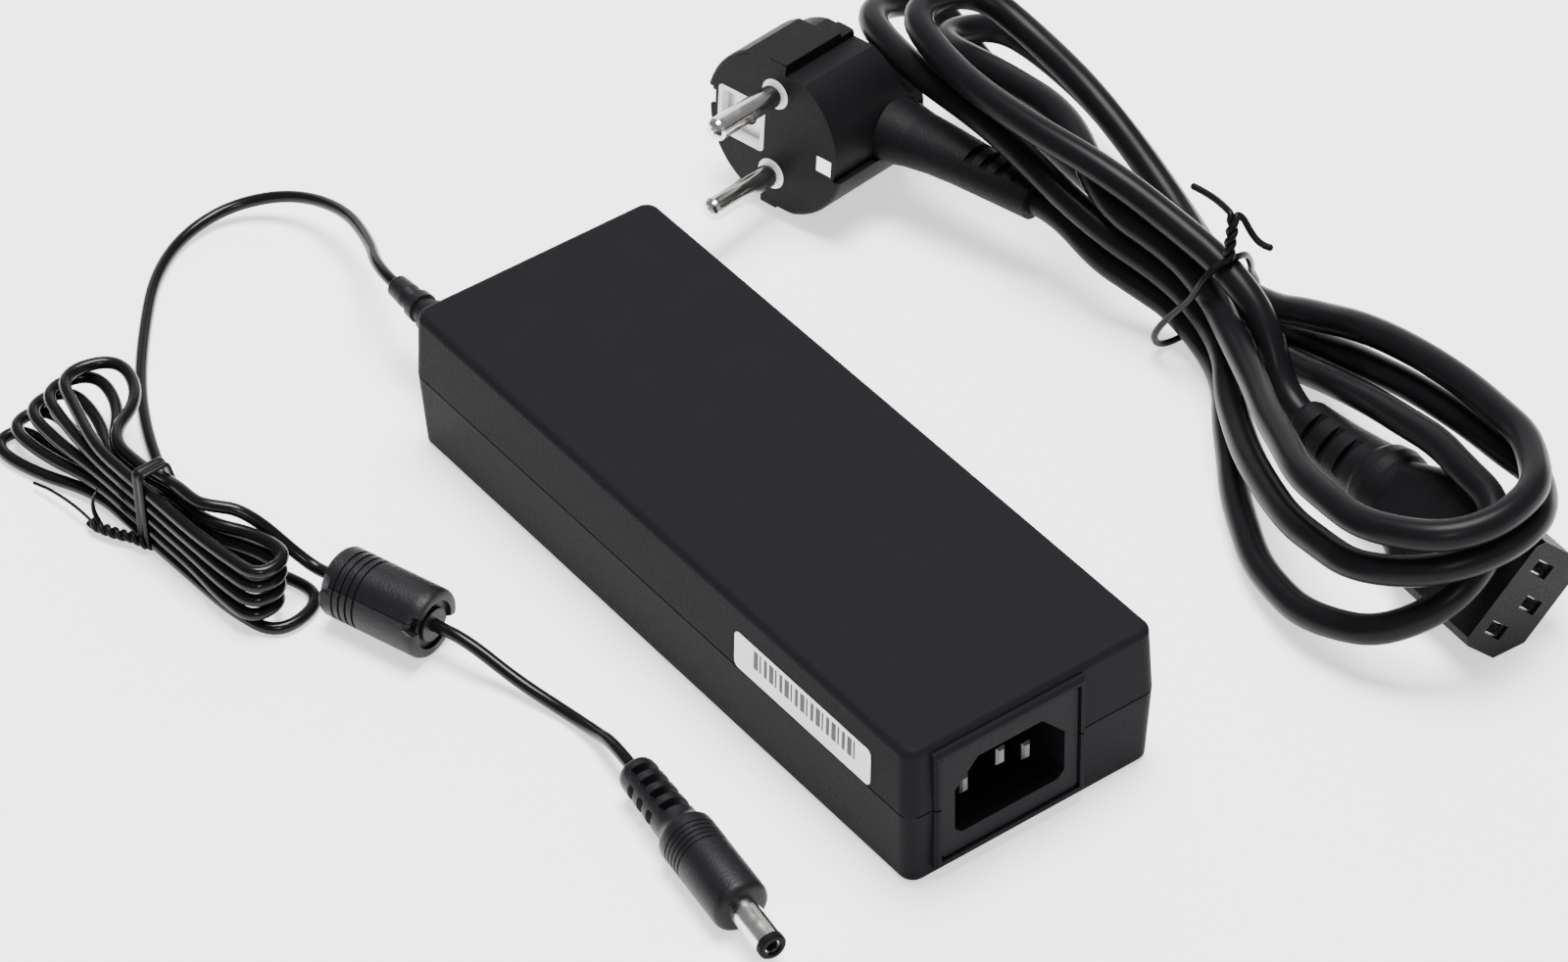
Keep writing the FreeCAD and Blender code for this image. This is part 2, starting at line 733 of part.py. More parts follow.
def dc_stations():
    """Loops of the tied lead: lobes by radius, reach and angle, one layer higher each turn."""
    ahead = Vector(math.cos(DC_HEADING), math.sin(DC_HEADING), 0)
    east = Vector(math.sin(DC_HEADING), -math.cos(DC_HEADING), 0)
    up = Vector(0, 0, 1)
    low, lift, pitch, column, half = 1.27, 0.6, 3.1, 1.7, 10.0

    def place(forward, across, level):
        return DC_WAIST + ahead * forward + east * across + up * (level + lift)

    def lobe(side, degrees, reach, radius, level):
        angle = math.radians(degrees)
        out = ahead * (side * math.cos(angle)) + east * math.sin(angle)
        across = up.cross(out)
        centre = DC_WAIST + out * reach + up * level
        return [station(centre + across * radius, out), station(centre - across * radius, out * -1)]

    path = [station(Vector(*DC_ARCH[-1]), Vector(*DC_ARCH[-1]) - Vector(*DC_ARCH[-2])),
            station(place(2.0, 2 * column + 1.5, low), ahead * -1),
            station(place(-half, 2 * column + 1.5, low), ahead * -1)]
    for turn in range(DC_LOOPS):
        level = low + pitch * turn
        if turn == 0:
            path += lobe(-1, 12.0, 30.0, 6.6, level)
        else:
            path += lobe(-1, 3.0 + 1.2 * turn, 28.9, 4.1, level)
        path += [station(place(-half, -column, level), ahead), station(place(half, -column, level), ahead)]
        radius = 3.7 + 0.65 * turn
        path += lobe(1, 6.0 * turn - 7.0, 43.5 - 1.1 * turn - radius, radius, level)
        path += [station(place(half, column, level), ahead * -1),
                 station(place(-half, column, level + pitch), ahead * -1)]
    first, second = Vector(*DC_LEAD[0]), Vector(*DC_LEAD[1])
    return path + [station(first, second - first)]


def dc_cord():
    diameter = size["dc_cord"]
    tube("dc_cord_arch", DC_ARCH, diameter)
    wound("dc_cord_hank", dc_stations(), diameter, 9.0)
    tube("dc_cord_lead", DC_LEAD, diameter)
    middle = Part.makeCylinder(diameter / 2, (FERRITE_END - FERRITE_START).Length)
    keep("dc_cord_core", coded(middle),
         Placement(FERRITE_START, Rotation(Vector(0, 0, 1), FERRITE_END - FERRITE_START)))
    tube("dc_cord_tail", DC_TAIL, diameter)


def strain_relief():
    """Boot moulded on the cord: a flange inside the wall, a neck and ribs that thin towards the tip."""
    wall = size["wall"]
    cord = size["dc_cord"] / 2
    neck = size["boot_hole"] / 2 - 0.15
    tip = size["boot_length"]
    profile = [(-wall - 2.5, at(0.0)), (-wall - 2.5, at(5.4)), (-wall - 0.1, at(5.4)), (-wall - 0.1, neck),
               (at(3.0), neck), (at(3.6), at(3.4))]
    for n in range(3):
        begin = 4.2 + 4.6 * n
        rib = 3.9 - 0.35 * n
        profile += [(at(begin), at(rib - 0.6)), (at(begin + 0.3), at(rib)), (at(begin + 2.4), at(rib - 0.1)),
                    (at(begin + 2.8), at(rib - 0.9))]
    profile += [(at(18.4), at(2.6)), (tip - 0.5, at(2.3)), (tip, cord + 0.6), (tip, at(0.0))]
    keep("dc_strain_relief", turned("relief", profile),
         Placement(Vector(size["dc_across"], half_long, parting), Rotation(Vector(0, 0, 1), 90)))


def ferrite():
    """Two snapped half shells round a ferrite sleeve on the cord."""
    frame = aimed(FERRITE_START, (FERRITE_END - FERRITE_START).normalize(), Vector(0.5, 0.15, 0.85))
    radius = size["ferrite_size"] / 2
    length = size["ferrite_length"]
    grooves = []
    for n in range(4):
        begin = 3.2 + 1.6 * n
        grooves += [(at(begin), radius), (at(begin), radius - 0.35), (at(begin + 0.5), radius - 0.35),
                    (at(begin + 0.5), radius)]
    profile = [(at(0.0), at(0.0)), (at(0.0), at(3.4)), (at(0.7), at(3.4)), (at(0.7), radius - 2.0),
               (at(0.0), radius - 1.8), (at(0.6), radius - 0.6), (at(1.6), radius)] + grooves
    profile += [(length - 1.6, radius), (length - 0.6, radius - 0.6), (length, radius - 1.8),
                (length - 0.7, radius - 2.0), (length - 0.7, at(3.4)), (length, at(3.4)), (length, at(0.0))]
    hollow = [(at(1.6), at(0.0)), (at(1.6), radius - 1.3), (length - 1.6, radius - 1.3),
              (length - 1.6, at(0.0))]
    bore = size["dc_cord"] / 2 + 0.1
    for label, side in (("ferrite_cover_upper", 1), ("ferrite_cover_lower", -1)):
        whole = turned("housing", profile)
        space = turned("space", hollow)
        hole = rod(bore, length + 2.0, at(-1.0), at(0.0), at(0.0), "x")
        half = block((at(-2.0), length + 2.0), (-radius - 1.0, radius + 1.0),
                     sorted((at(0.0), (radius + 1.0) * side)))
        keep(label, cut(common(whole, half), space, hole), frame)
    sleeve = turned("sleeve", [(at(1.8), bore), (at(1.8), radius - 1.5), (length - 1.8, radius - 1.5),
                               (length - 1.8, bore)])
    keep("ferrite_core", sleeve, frame)


def dc_plug():
    """Barrel plug: slotted boot, grip body, outer sleeve, insulator and inner contact."""
    start = Vector(*DC_TAIL[-1])
    frame = aimed(start, (Vector(*DC_TAIL[-1]) - Vector(*DC_TAIL[-2])).normalize())
    outer = size["barrel_outer"] / 2
    inner = size["barrel_inner"] / 2
    radius = size["plug_size"] / 2
    face = 40.5
    tip = size["barrel_length"] + face
    profile = [(at(0.0), at(0.0)), (at(0.0), at(2.2)), (at(0.6), at(2.7))]
    for n in range(5):
        begin = 2.6 + 3.0 * n
        wide = 2.9 + 0.22 * n
        profile += [(at(begin), at(wide)), (at(begin), at(wide - 0.8)), (at(begin + 1.0), at(wide - 0.8)),
                    (at(begin + 1.0), at(wide + 0.1))]
    profile += [(at(18.0), at(4.1)), (at(19.0), radius - 0.6), (at(20.0), radius), (at(face - 1.2), radius),
                (at(face), radius - 1.2), (at(face), outer - 0.3), (at(face - 7.0), outer - 0.3),
                (at(face - 7.0), at(0.0))]
    keep("dc_plug_body", turned("plug_body", profile), frame)
    sleeve = turned("sleeve", [(at(face - 7.0), outer - 0.6), (at(face - 7.0), outer - 0.3),
                               (at(face), outer - 0.3), (at(face), outer), (tip, outer), (tip, outer - 0.6)])
    keep("dc_plug_sleeve", sleeve, frame)
    insulator = turned("insulator", [(at(face - 6.0), inner + 0.4), (at(face - 6.0), outer - 0.6),
                                     (tip, outer - 0.6), (tip, outer - 0.05), (tip + 1.0, outer - 0.05),
                                     (tip + 1.4, outer - 0.4), (tip + 1.4, inner + 0.4)])
    keep("dc_plug_insulator", insulator, frame)
    contact = turned("contact", [(at(face - 7.0), inner), (at(face - 7.0), inner + 0.4),
                                 (tip + 0.8, inner + 0.4), (tip + 0.8, inner)])
    keep("dc_plug_contact", contact, frame)


# Mains lead
PLUG_FACE = Vector(67.42, 91.02, 19.5)
PLUG_PINS = Vector(-0.972, -0.215, 0.096)
PLUG_CORD = Vector(0.216, -0.976, 0.0)
NECK_BACK = 19.0
NECK_END = 52.0
SOCKET_FACE = Vector(100.0, -96.0, 10.5)
SOCKET_BACK = Vector(0.056, 0.998, 0.0)
SOCKET_SIDE = Vector(0.707, 0.0, 0.707)
BOOT_TIP = Vector(102.5, -31.0, 9.8)
BOOT_OUT = Vector(0.03, 0.97, 0.12)
TIED_AT = 5.0
WEST = 105.0
EAST = (111.9, 118.9, 114.6)
SOUTH_LOBES = [
    ((74.5, -60.0, 5.3), (88.0, -92.5, 18.5), (100.5, -75.0, 28.2)),
    ((76.0, -70.0, 19.0), (96.5, -95.0, 29.6), (118.5, -76.0, 19.0)),
    ((79.5, -70.0, 27.2), (97.0, -88.5, 33.2), (116.5, -69.0, 26.5)),
]
NORTH_LOBES = [
    ((122.0, 88.0, 8.0), (112.5, 107.0, 22.0), (96.0, 70.0, 28.2)),
    ((129.5, 76.0, 15.0), (119.5, 93.5, 20.0), (109.0, 60.0, 28.6)),
    ((122.0, 70.0, 26.0), (110.5, 90.5, 34.0), (95.6, 60.0, 35.6)),
]


def mains_stations():
    """Three loops drawn in at the tie, with fanned lobes to the south and north."""
    low, pitch, half, drop = 4.35, 7.05, 11.0, 5.6
    fan_north, fan_south = math.radians(20), math.radians(24)
    shift_north = half * math.tan(fan_north / 2)
    shift_south = half * math.tan(fan_south / 2)
    levels = [low + pitch * n for n in range(4)]
    east_levels = (low, low, low + pitch + 0.9)

    def west_pass(turn):
        level = levels[turn]
        slope = 0.03 * turn
        return [station(Vector(WEST - shift_north, TIED_AT + half, level + drop),
                        Vector(math.sin(fan_north), -math.cos(fan_north), -0.3)),
                station(Vector(WEST - shift_south, TIED_AT - half, level),
                        Vector(-math.sin(fan_south), -math.cos(fan_south), slope))]

    def east_pass(turn):
        across, level = EAST[turn], east_levels[turn]
        return [station(Vector(across + shift_south, TIED_AT - half, level),
                        Vector(-math.sin(fan_south), math.cos(fan_south), 0)),
                station(Vector(across + shift_north, TIED_AT + half, level),
                        Vector(math.sin(fan_north), math.cos(fan_north), 0))]

    def lobe(places, side):
        first, top, last = [Vector(*place) for place in places]
        rise = math.pi / 4 * (abs(top.x - first.x) + abs(top.y - first.y))
        fall = math.pi / 4 * (abs(last.x - top.x) + abs(last.y - top.y))
        return [station(first, Vector(0, side, 0.5 * (top.z - first.z) / rise)),
                station(top, Vector(-side, 0, (last.z - first.z) / (rise + fall))),
                station(last, Vector(0, -side, 0.5 * (last.z - top.z) / fall))]

    start = west_pass(0)[0]
    path = [station(start[0] - start[1] * 6.0, start[1])]
    for turn in range(3):
        path += west_pass(turn) + lobe(SOUTH_LOBES[turn], -1) + east_pass(turn) + lobe(NORTH_LOBES[turn], 1)
    path.append(west_pass(3)[0])
    leave = station(Vector(WEST + 1.5, TIED_AT - half + 2.0, levels[3] - 0.5), Vector(0, -1, -0.28))
    return path + [leave, station(leave[0] + leave[1] * 6.0, leave[1])]


def mains_cord():
    diameter = size["mains_cord"]
    path = mains_stations()
    wound("mains_cord_hank", path, diameter, 22.0)
    relief = PLUG_FACE + plug_frame().Rotation.multVec(Vector(-NECK_BACK, NECK_END, 0))
    start, out = path[0]
    link = biarc(relief, Vector(PLUG_CORD).normalize(), start, out)
    joined("plug_cord", link, relief, PLUG_CORD, diameter)
    end, out = path[-1]
    link = biarc(end, out, BOOT_TIP, Vector(BOOT_OUT).normalize() * -1)
    joined("connector_cord", link, end, out, diameter)


def joined(label, link, start, out, diameter):
    wire = Part.Wire([edge for edge, radius in link])
    solid = swept(wire, start, out, diameter, SIDES)
    report(label, solid, wire, diameter)
    print(label, "radii", [round(radius, 1) for edge, radius in link])
    keep(label, coded(solid))


def plug_frame():
    return aimed(PLUG_FACE, Vector(PLUG_PINS).normalize())


def disc(radius, length, x, y=0.0, z=0.0):
    """Solid disc along local X that ends at a face."""
    return rod(radius, length, at(x), at(y), at(z), "x")


def mains_plug():
    """Angled plug: black body, white carrier that shows at the pins and the earth hole, pins and metal."""
    frame = plug_frame()
    barrel = disc(at(3.2), at(7.0), -13.0, EARTH_HOLE, 0.0)
    body = cut(plug_body(), carrier(), window(), barrel, *(pin_bores() + clip_seats()))
    keep("mains_plug_body", body, frame)
    keep("mains_plug_face", cut(carrier(), window(), *pin_bores()), frame)
    radius = size["pin_size"] / 2
    length = size["pin_length"]
    shanks = []
    for z in PIN_HEIGHTS:
        pin = turned("pin", [(at(-8.0), at(0.0)), (at(-8.0), radius - PIN_STEP), (at(0.0), radius - PIN_STEP),
                             (at(0.0), radius), (length - 1.5, radius), (length - 0.8, radius - 0.35),
                             (length - 0.3, radius - 1.0), (length, radius - 1.8), (length, at(0.0))])
        shanks.append(seat(pin, 0.0, 0.0, z))
    keep("mains_plug_pins", group(*shanks), frame)
    keep("mains_earth_clips", group(*earth_clips()), frame)
    half = WINDOW_HALF - 1.2
    plate = block(span(-2.8, -2.0), span(WINDOW[0] + 1.2, WINDOW[1] - 1.2), span(-half, half))
    socket = disc(at(3.1), at(9.6), -12.4, EARTH_HOLE, 0.0)
    hole = disc(at(2.5), at(12.0), -13.0, EARTH_HOLE, 0.0)
    keep("mains_earth_contact", cut(fuse(plate, socket), hole), frame)


PIN_HEIGHTS = (9.5, -9.5)
PIN_STEP = 0.4
WINDOW = (-14.5, -2.3)
WINDOW_HALF = 5.6
EARTH_HOLE = -8.4
CLIP_LEVEL = 1.6


def carrier():
    """White carrier behind the face, with two rings and a frame that come up to it."""
    rings = [disc(at(3.3), at(3.2), -3.2, 0.0, z) for z in PIN_HEIGHTS]
    border = block(span(-3.2, 0.0), span(*WINDOW), span(-WINDOW_HALF, WINDOW_HALF))
    return fuse(disc(at(13.5), at(3.0), -6.0), rounded(border, 1.2, lambda e: edge_runs(e, "x")), *rings)


def window():
    """Opening for the earth hole inside the carrier's frame."""
    half = WINDOW_HALF - 1.0
    return block(span(-7.0, 1.0), span(WINDOW[0] + 1.0, WINDOW[1] - 1.0), span(-half, half))


def pin_bores():
    """Bores that the pins' thin roots sit in."""
    return [disc(size["pin_size"] / 2 - PIN_STEP, at(8.0), -8.0, 0.0, z) for z in PIN_HEIGHTS]


def clip_seats():
    """Pocket for the near earth clip, open at the face, and the open groove of the far one."""
    level = CLIP_LEVEL
    near = [block(span(-12.0, 1.0), span(14.4, 15.2), span(-level - 1.9, 1.9 - level)),
            block(span(-1.2, 1.0), span(11.2, 14.8), span(-level - 1.9, 1.9 - level))]
    return near + [block(span(-12.0, 1.0), span(-20.0, -15.2), span(level - 1.8, level + 1.8))]


def earth_clips():
    level = CLIP_LEVEL
    near = fuse(block(span(-12.0, -0.2), span(14.4, 15.2), span(-level - 1.9, 1.9 - level)),
                block(span(-1.2, -0.2), span(11.2, 14.8), span(-level - 1.9, 1.9 - level)))
    return [near, block(span(-12.0, -0.4), span(-15.9, -15.2), span(level - 1.8, level + 1.8))]


def plug_body():
    """Round head with guide ribs, finger grips and a stepped back, and the neck at its side."""
    radius = size["face_size"] / 2
    depth = size["plug_depth"]
    head = turned("head", [(-depth, at(0.0)), (-depth, at(11.0)), (-depth + 1.0, at(13.6)),
                           (-depth + 3.0, at(15.7)), (at(-RIM_BACK), radius), (at(-0.8), radius),
                           (at(-0.2), radius - 0.3), (at(0.0), radius - 0.8), (at(0.0), at(0.0))])
    over = coded(soft_prism([(-19.4, 24.0), (-22.6, 5.7), (-42.0, 5.7), (-42.0, 24.0)], 60.0, 1.5))
    pads = []
    for side, levels in ((1, (15.8, 14.7, 17.3)), (-1, (16.5, 14.9, 17.05))):
        outer, inner, rib = levels
        pads += [block(span(-40.0, 1.0), swap(-1.7, -20.0, side), swap(outer, 20.0, side)),
                 block(span(-40.0, 1.0), swap(2.4, 20.0, side), swap(inner, 20.0, side)),
                 block(span(-40.0, 1.0), span(-20.0, 20.0), swap(rib, 20.0, side))]
    back = common(hollow(-40.0, -HEAD_BACK), block(span(-40.0, -HEAD_BACK), span(-20.0, 20.0), span(3.0, 21.0)))
    return fuse(cut(head, over, back, grip(1), grip(-1), *pads), coded(neck_shape()))


HEAD_BACK = 16.8
RIM_BACK = 25.0
GRIP_RADIUS = 16.4


def swap(low, high, side):
    """Range along an axis, mirrored through the plug's middle for the far side."""
    return span(*sorted((low * side, high * side)))


def hollow(start, end):
    """Ring round the plug's axis outside the grips' surface."""
    return cut(disc(at(21.0), at(end - start), start), disc(at(GRIP_RADIUS), at(end - start + 2.0), start - 1.0))


def grip(side):
    """Shallow hollow for the fingers in one flank, with a ledge below it."""
    return common(hollow(-RIM_BACK - 1.0, 1.0),
                  block(span(-RIM_BACK - 1.0, 1.0), swap(2.4, 22.0, side), swap(-4.0, 16.6, side)))


def neck_shape():
    """Side neck of the plug, lofted along the cord's exit, with comb slots near its end."""
    sizes = ((0.0, 8.0, 7.4, -0.4), (14.5, 8.0, 6.8, -0.5), (18.0, 7.5, 6.4, -0.4), (22.0, 6.8, 5.6, -0.1),
             (28.0, 6.2, 5.1, 0.3), (34.0, 5.7, 4.8, 0.4), (NECK_END, 4.4, 4.2, 0.0))
    wires = [oval(Vector(-NECK_BACK, y, z), half_x, half_z) for y, half_x, half_z, z in sizes]
    solid = Part.makeLoft(wires, True, True)
    slots = []
    for n in range(5):
        y = 34.5 + 3.6 * n
        for level in (-10.0, 3.6):
            slots.append(Part.makeBox(14.0, 1.7, 6.4, Vector(-NECK_BACK - 7.0, y + 1.8 * (level > 0), level)))
    return solid.cut(slots)


def oval(centre, half_x, half_z):
    """Closed oval across the local Y axis, as four arcs' worth of ellipse."""
    if half_x < half_z:
        long, short, turn = half_z, half_x, Vector(0, 0, 1)
    else:
        long, short, turn = half_x, half_z, Vector(1, 0, 0)
    curve = Part.Ellipse(centre + turn * long, centre + Vector(0, 1, 0).cross(turn) * short, centre)
    return Part.Wire([curve.toShape()])


def socket_frame():
    back = Vector(SOCKET_BACK).normalize()
    side = SOCKET_SIDE - back * SOCKET_SIDE.dot(back)
    side.normalize()
    return Placement(SOCKET_FACE, Rotation(side, back.cross(side), back, "ZXY"))


def connector():
    """Cable socket: chamfered body with three slots, a shoulder, and a boot that bends up to the cord."""
    frame = socket_frame()
    wide = size["connector_half_wide"]
    tall = size["connector_half_tall"]
    bevel = size["connector_chamfer"]
    body = doc.addObject("PartDesign::Body", "socket")
    face = outline(sketch_on(body, "XY_Plane"), [
        (-wide, -tall + 1.5), (-wide + 1.5, -tall), (wide - 1.5, -tall), (wide, -tall + 1.5),
        (wide, tall - bevel), (wide - bevel, tall), (-wide + bevel, tall), (-wide, tall - bevel)])
    pad = feature(body, "Pad", face, size["connector_body"])
    back = float(size["connector_body"])
    body.Tip = body_fillet(body, pad, at(1.6), lambda e: abs(e.BoundBox.ZMin - back) < 0.01)
    slots = [block((x - 1.5, x + 1.5), (y - 2.6, y + 2.6), (at(-1.0), at(15.0))) for x, y in CONTACTS]
    keep("connector_body", cut(fuse(body, coded(grip_shape()), coded(boot_shape(frame))), *slots), frame)
    contacts = []
    for x, y in CONTACTS:
        outer = block((x - 1.5, x + 1.5), (y - 2.6, y + 2.6), (at(1.0), at(15.0)))
        inner = block((x - 1.15, x + 1.15), (y - 2.25, y + 2.25), (at(0.0), at(14.0)))
        contacts.append(cut(outer, inner))
    keep("connector_contacts", group(*contacts), frame)


CONTACTS = [(at(-7.0), at(-2.0)), (at(0.0), at(2.0)), (at(7.0), at(-2.0))]


def grip_shape():
    """Back of the cable socket, narrowing from its full outline to a waist before the shoulder."""
    wide = float(size["connector_half_wide"]) - 0.4
    tall = float(size["connector_half_tall"]) - 0.4
    wires = []
    for level, share, corner in ((22.0, 1.0, 3.6), (26.0, 0.93, 3.6), (31.0, 0.78, 4.0), (37.0, 0.56, 3.4)):
        half_x = wide * share
        half_y = tall * (0.4 + 0.6 * share)
        cant = float(size["connector_chamfer"]) * share
        loop = [Vector(x, y, level) for x, y in (
            (-half_x, -half_y), (half_x, -half_y), (half_x, half_y - cant), (half_x - cant, half_y),
            (cant - half_x, half_y), (-half_x, half_y - cant), (-half_x, -half_y))]
        soft = Part.Face(Part.makePolygon(loop)).makeOffset2D(-corner).makeOffset2D(corner)
        wires.append(soft.OuterWire)
    return Part.makeLoft(wires, True, True)


def boot_shape(frame):
    """Boot of the cable socket, lofted from the body to the cord in the socket's own axes."""
    inverse = frame.inverse()
    tip = inverse.multVec(BOOT_TIP)
    out = inverse.Rotation.multVec(Vector(BOOT_OUT).normalize())
    base = Vector(0, 0, 35.0)
    reach = (tip - base).Length
    side = Vector(0, 1, 0)
    wires = []
    slots = []
    for along, radius in BOOT_RINGS:
        bend = (3 * along * along - 2 * along ** 3)
        straight = base + Vector(0, 0, 1) * (reach * along)
        toward = tip - out * (reach * (1 - along))
        place = straight * (1 - bend) + toward * bend
        normal = (Vector(0, 0, 1) * (1 - along) + out * along).normalize()
        wires.append(Part.Wire([Part.Circle(place, normal, radius).toShape()]))
        if along in BOOT_SLOTS:
            across = side.cross(normal).normalize()
            slots += [boot_slot(place, across * way, normal, radius) for way in (1, -1)]
    return Part.makeLoft(wires, True, True).cut(slots)


def boot_slot(place, across, normal, radius):
    """Block that cuts one slot across the boot, on the side that the turn of its axes picks."""
    outward = normal.cross(across)
    slot = Part.makeBox(14.0, 1.8, 5.0)
    corner = place + outward * (radius - 1.6) - across * 7.0 + normal * 0.9
    slot.Placement = Placement(corner, Rotation(across, normal * -1, outward, "XYZ"))
    return slot


BOOT_SLOTS = (0.46, 0.64, 0.82)
BOOT_RINGS = ((0.0, 5.2), (0.05, 6.6), (0.1, 7.7), (0.18, 8.0), (0.27, 7.6), (0.32, 6.7), (0.46, 6.3),
              (0.64, 5.7), (0.82, 5.1), (0.96, 4.5), (1.0, 3.9))


def ties():
    """Flat and wire ties round both waists, drawn round the strands that they hold."""
    flat = band([(-3.2, 0.5), (6.4, 0.5), (6.4, 5.5), (3.3, 18.9), (-3.2, 18.9)], 3.4, 0.5, 1.2)
    keep("dc_tie", coded(flat), Placement(DC_WAIST, Rotation(Vector(0, 0, 1), math.degrees(DC_HEADING) - 90)))
    wire = float(size["tie_wire"])
    around = [(-3.2, wire), (17.1, wire), (17.1, 9.0), (13.4, 18.8), (3.4, 31.6), (-3.2, 31.6)]
    loop = band(around, wire, wire, 2.6)
    keep("mains_tie", coded(loop), Placement(Vector(WEST, TIED_AT, 0), Rotation()))


def band(corners, along, thick, radius):
    """Closed band of even thickness outside an outline across the Y axis."""
    inner = soft_prism(corners, along, radius)
    across = inner.Faces[0]
    for face in inner.Faces:
        if abs(face.BoundBox.YMax + along / 2) < 1e-6:
            across = face
    outer = across.makeOffset2D(thick)
    solid = outer.extrude(Vector(0, along, 0))
    return solid.cut(inner)


def soft_prism(corners, along, radius):
    """Prism along Y through corners across it, with its long edges rounded."""
    loop = [Vector(x, -along / 2, z) for x, z in corners]
    solid = Part.Face(Part.makePolygon(loop + loop[:1])).extrude(Vector(0, along, 0))
    return solid.makeFillet(radius, [edge for edge in solid.Edges if edge_runs(edge, "y")])


bottom_cover()
top_cover()
inlet_housing()
inlet_blades()
circuit_board()
heat_spreaders()
fuse_link()
mains_choke()
capacitors()
bridge_rectifier()
power_parts()
transformer()
small_parts()
strain_relief()
dc_cord()
ferrite()
dc_plug()
mains_plug()
connector()
mains_cord()
ties()

doc.recompute()
for item in doc.Objects:
    if "Invalid" in item.State or "Error" in item.State:
        raise RuntimeError("%s failed: %s" % (item.Name, item.State))
for item in parts:
    if item.Shape.isNull() or not item.Shape.isValid():
        raise RuntimeError("%s has no valid shape" % item.Label)
os.makedirs("parts", exist_ok=True)
for item in parts:
    item.Shape.exportStep("parts/%s.step" % item.Label)
print(len(parts), "sub-parts written")
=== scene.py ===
import json
import math
import bpy
from mathutils import Matrix, Vector


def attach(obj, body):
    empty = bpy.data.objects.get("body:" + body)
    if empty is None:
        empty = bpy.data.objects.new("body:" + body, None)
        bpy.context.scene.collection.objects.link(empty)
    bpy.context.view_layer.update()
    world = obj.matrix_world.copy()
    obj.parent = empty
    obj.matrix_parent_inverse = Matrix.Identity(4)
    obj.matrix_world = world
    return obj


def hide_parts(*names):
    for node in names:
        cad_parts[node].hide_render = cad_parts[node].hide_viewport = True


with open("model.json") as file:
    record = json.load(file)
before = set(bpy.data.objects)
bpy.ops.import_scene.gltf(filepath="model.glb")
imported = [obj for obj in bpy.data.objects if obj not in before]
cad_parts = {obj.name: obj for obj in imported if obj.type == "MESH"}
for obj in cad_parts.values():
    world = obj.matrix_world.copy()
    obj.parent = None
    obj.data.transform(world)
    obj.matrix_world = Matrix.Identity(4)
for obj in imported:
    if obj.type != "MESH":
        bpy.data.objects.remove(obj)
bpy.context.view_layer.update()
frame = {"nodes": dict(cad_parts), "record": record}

MM = 0.001
UP = Vector((0, 0, 1))
scene = bpy.context.scene


def link(name, data):
    item = bpy.data.objects.new(name, data)
    scene.collection.objects.link(item)
    return item


# Camera at the photograph's place, worked out from the casing's edges, with its place in millimetres
SENSOR_WIDTH = 36.0
LENS = 139.712
CAMERA_PLACE = Vector((-488.589, -681.506, 768.388))
CAMERA_RIGHT = Vector((0.801784, -0.597344, -0.017954))
CAMERA_UP = Vector((0.406429, 0.523011, 0.749183))
CAMERA_BACK = Vector((-0.43813, -0.60798, 0.66212))


def make_camera():
    data = bpy.data.cameras.new("camera")
    data.sensor_width = SENSOR_WIDTH
    data.lens = LENS
    data.clip_end = 20.0
    camera = link("camera", data)
    turn = Matrix((CAMERA_RIGHT, CAMERA_UP, CAMERA_BACK)).transposed().to_4x4()
    camera.matrix_world = Matrix.Translation(CAMERA_PLACE * MM) @ turn
    scene.camera = camera


make_camera()


# Cords: one open spline each, through the same routes as the solids, in millimetres
def directed(place, direction):
    """Station: a place on the route and the heading there."""
    return Vector(place), Vector(direction).normalized()


def bends(stations):
    """Corner points of the two bends between each station and the next."""
    points = []
    for (start, out), (end, into) in zip(stations, stations[1:]):
        gap = end - start
        both = out + into
        bend = 2 * (1 - out.dot(into))
        if bend < 1e-9:
            reach = gap.dot(gap) / (4 * gap.dot(into))
        else:
            reach = (math.sqrt(gap.dot(both) ** 2 + bend * gap.dot(gap)) - gap.dot(both)) / bend
        points += [start + out * reach, end - into * reach]
    return points


def cord_curve(name, points, diameter):
    """Round cord on one open spline, with the points as its control points."""
    data = bpy.data.curves.new(name, "CURVE")
    data.dimensions = "3D"
    data.resolution_u = 8
    data.bevel_depth = 1.0
    data.bevel_resolution = 5
    data.use_fill_caps = True
    spline = data.splines.new("NURBS")
    spline.points.add(len(points) - 1)
    for spot, place in zip(spline.points, points):
        spot.co = (*(Vector(place) * MM), 1.0)
        spot.radius = diameter / 2 * MM
    spline.order_u = 3
    spline.use_endpoint_u = True
    return link(name, data)


# DC cord: an arch from the casing, five tied loops, a lead to the ferrite and a tail to the plug
DC_SIZE = 2.5
DC_ARCH = [
    (-16.5, 100.67, 17.11), (-16.5, 107.4, 17.11), (-10.9, 118.4, 13.4), (-6.6, 134.2, 9.6),
    (-9.6, 148.6, 6.0), (-19.5, 156.4, 3.2), (-31.5, 156.2, 1.5), (-42.8, 149.0, 1.3), (-52.6, 137.2, 1.3),
    (-62.6, 123.2, 1.3), (-69.6, 109.6, 1.28), (-73.8, 97.2, 1.27),
]
DC_LEAD = [(-79.6, 67.6, 17.3), (-75.2, 63.2, 17.0), (-68.83, 53.43, 7.0), (-67.1, 48.1, 7.0)]
DC_TAIL = [
    (-59.6, 25.0, 7.0), (-57.3, 17.9, 7.0), (-53.8, 7.0, 2.9), (-50.6, -4.4, 1.4), (-49.9, -12.5, 2.4),
    (-50.85, -19.6, 5.5), (-51.9, -27.5, 5.5),
]
DC_WAIST = Vector((-84.0, 82.5, 0.0))
DC_HEADING = math.radians(93.0)
DC_AHEAD = Vector((math.cos(DC_HEADING), math.sin(DC_HEADING), 0))
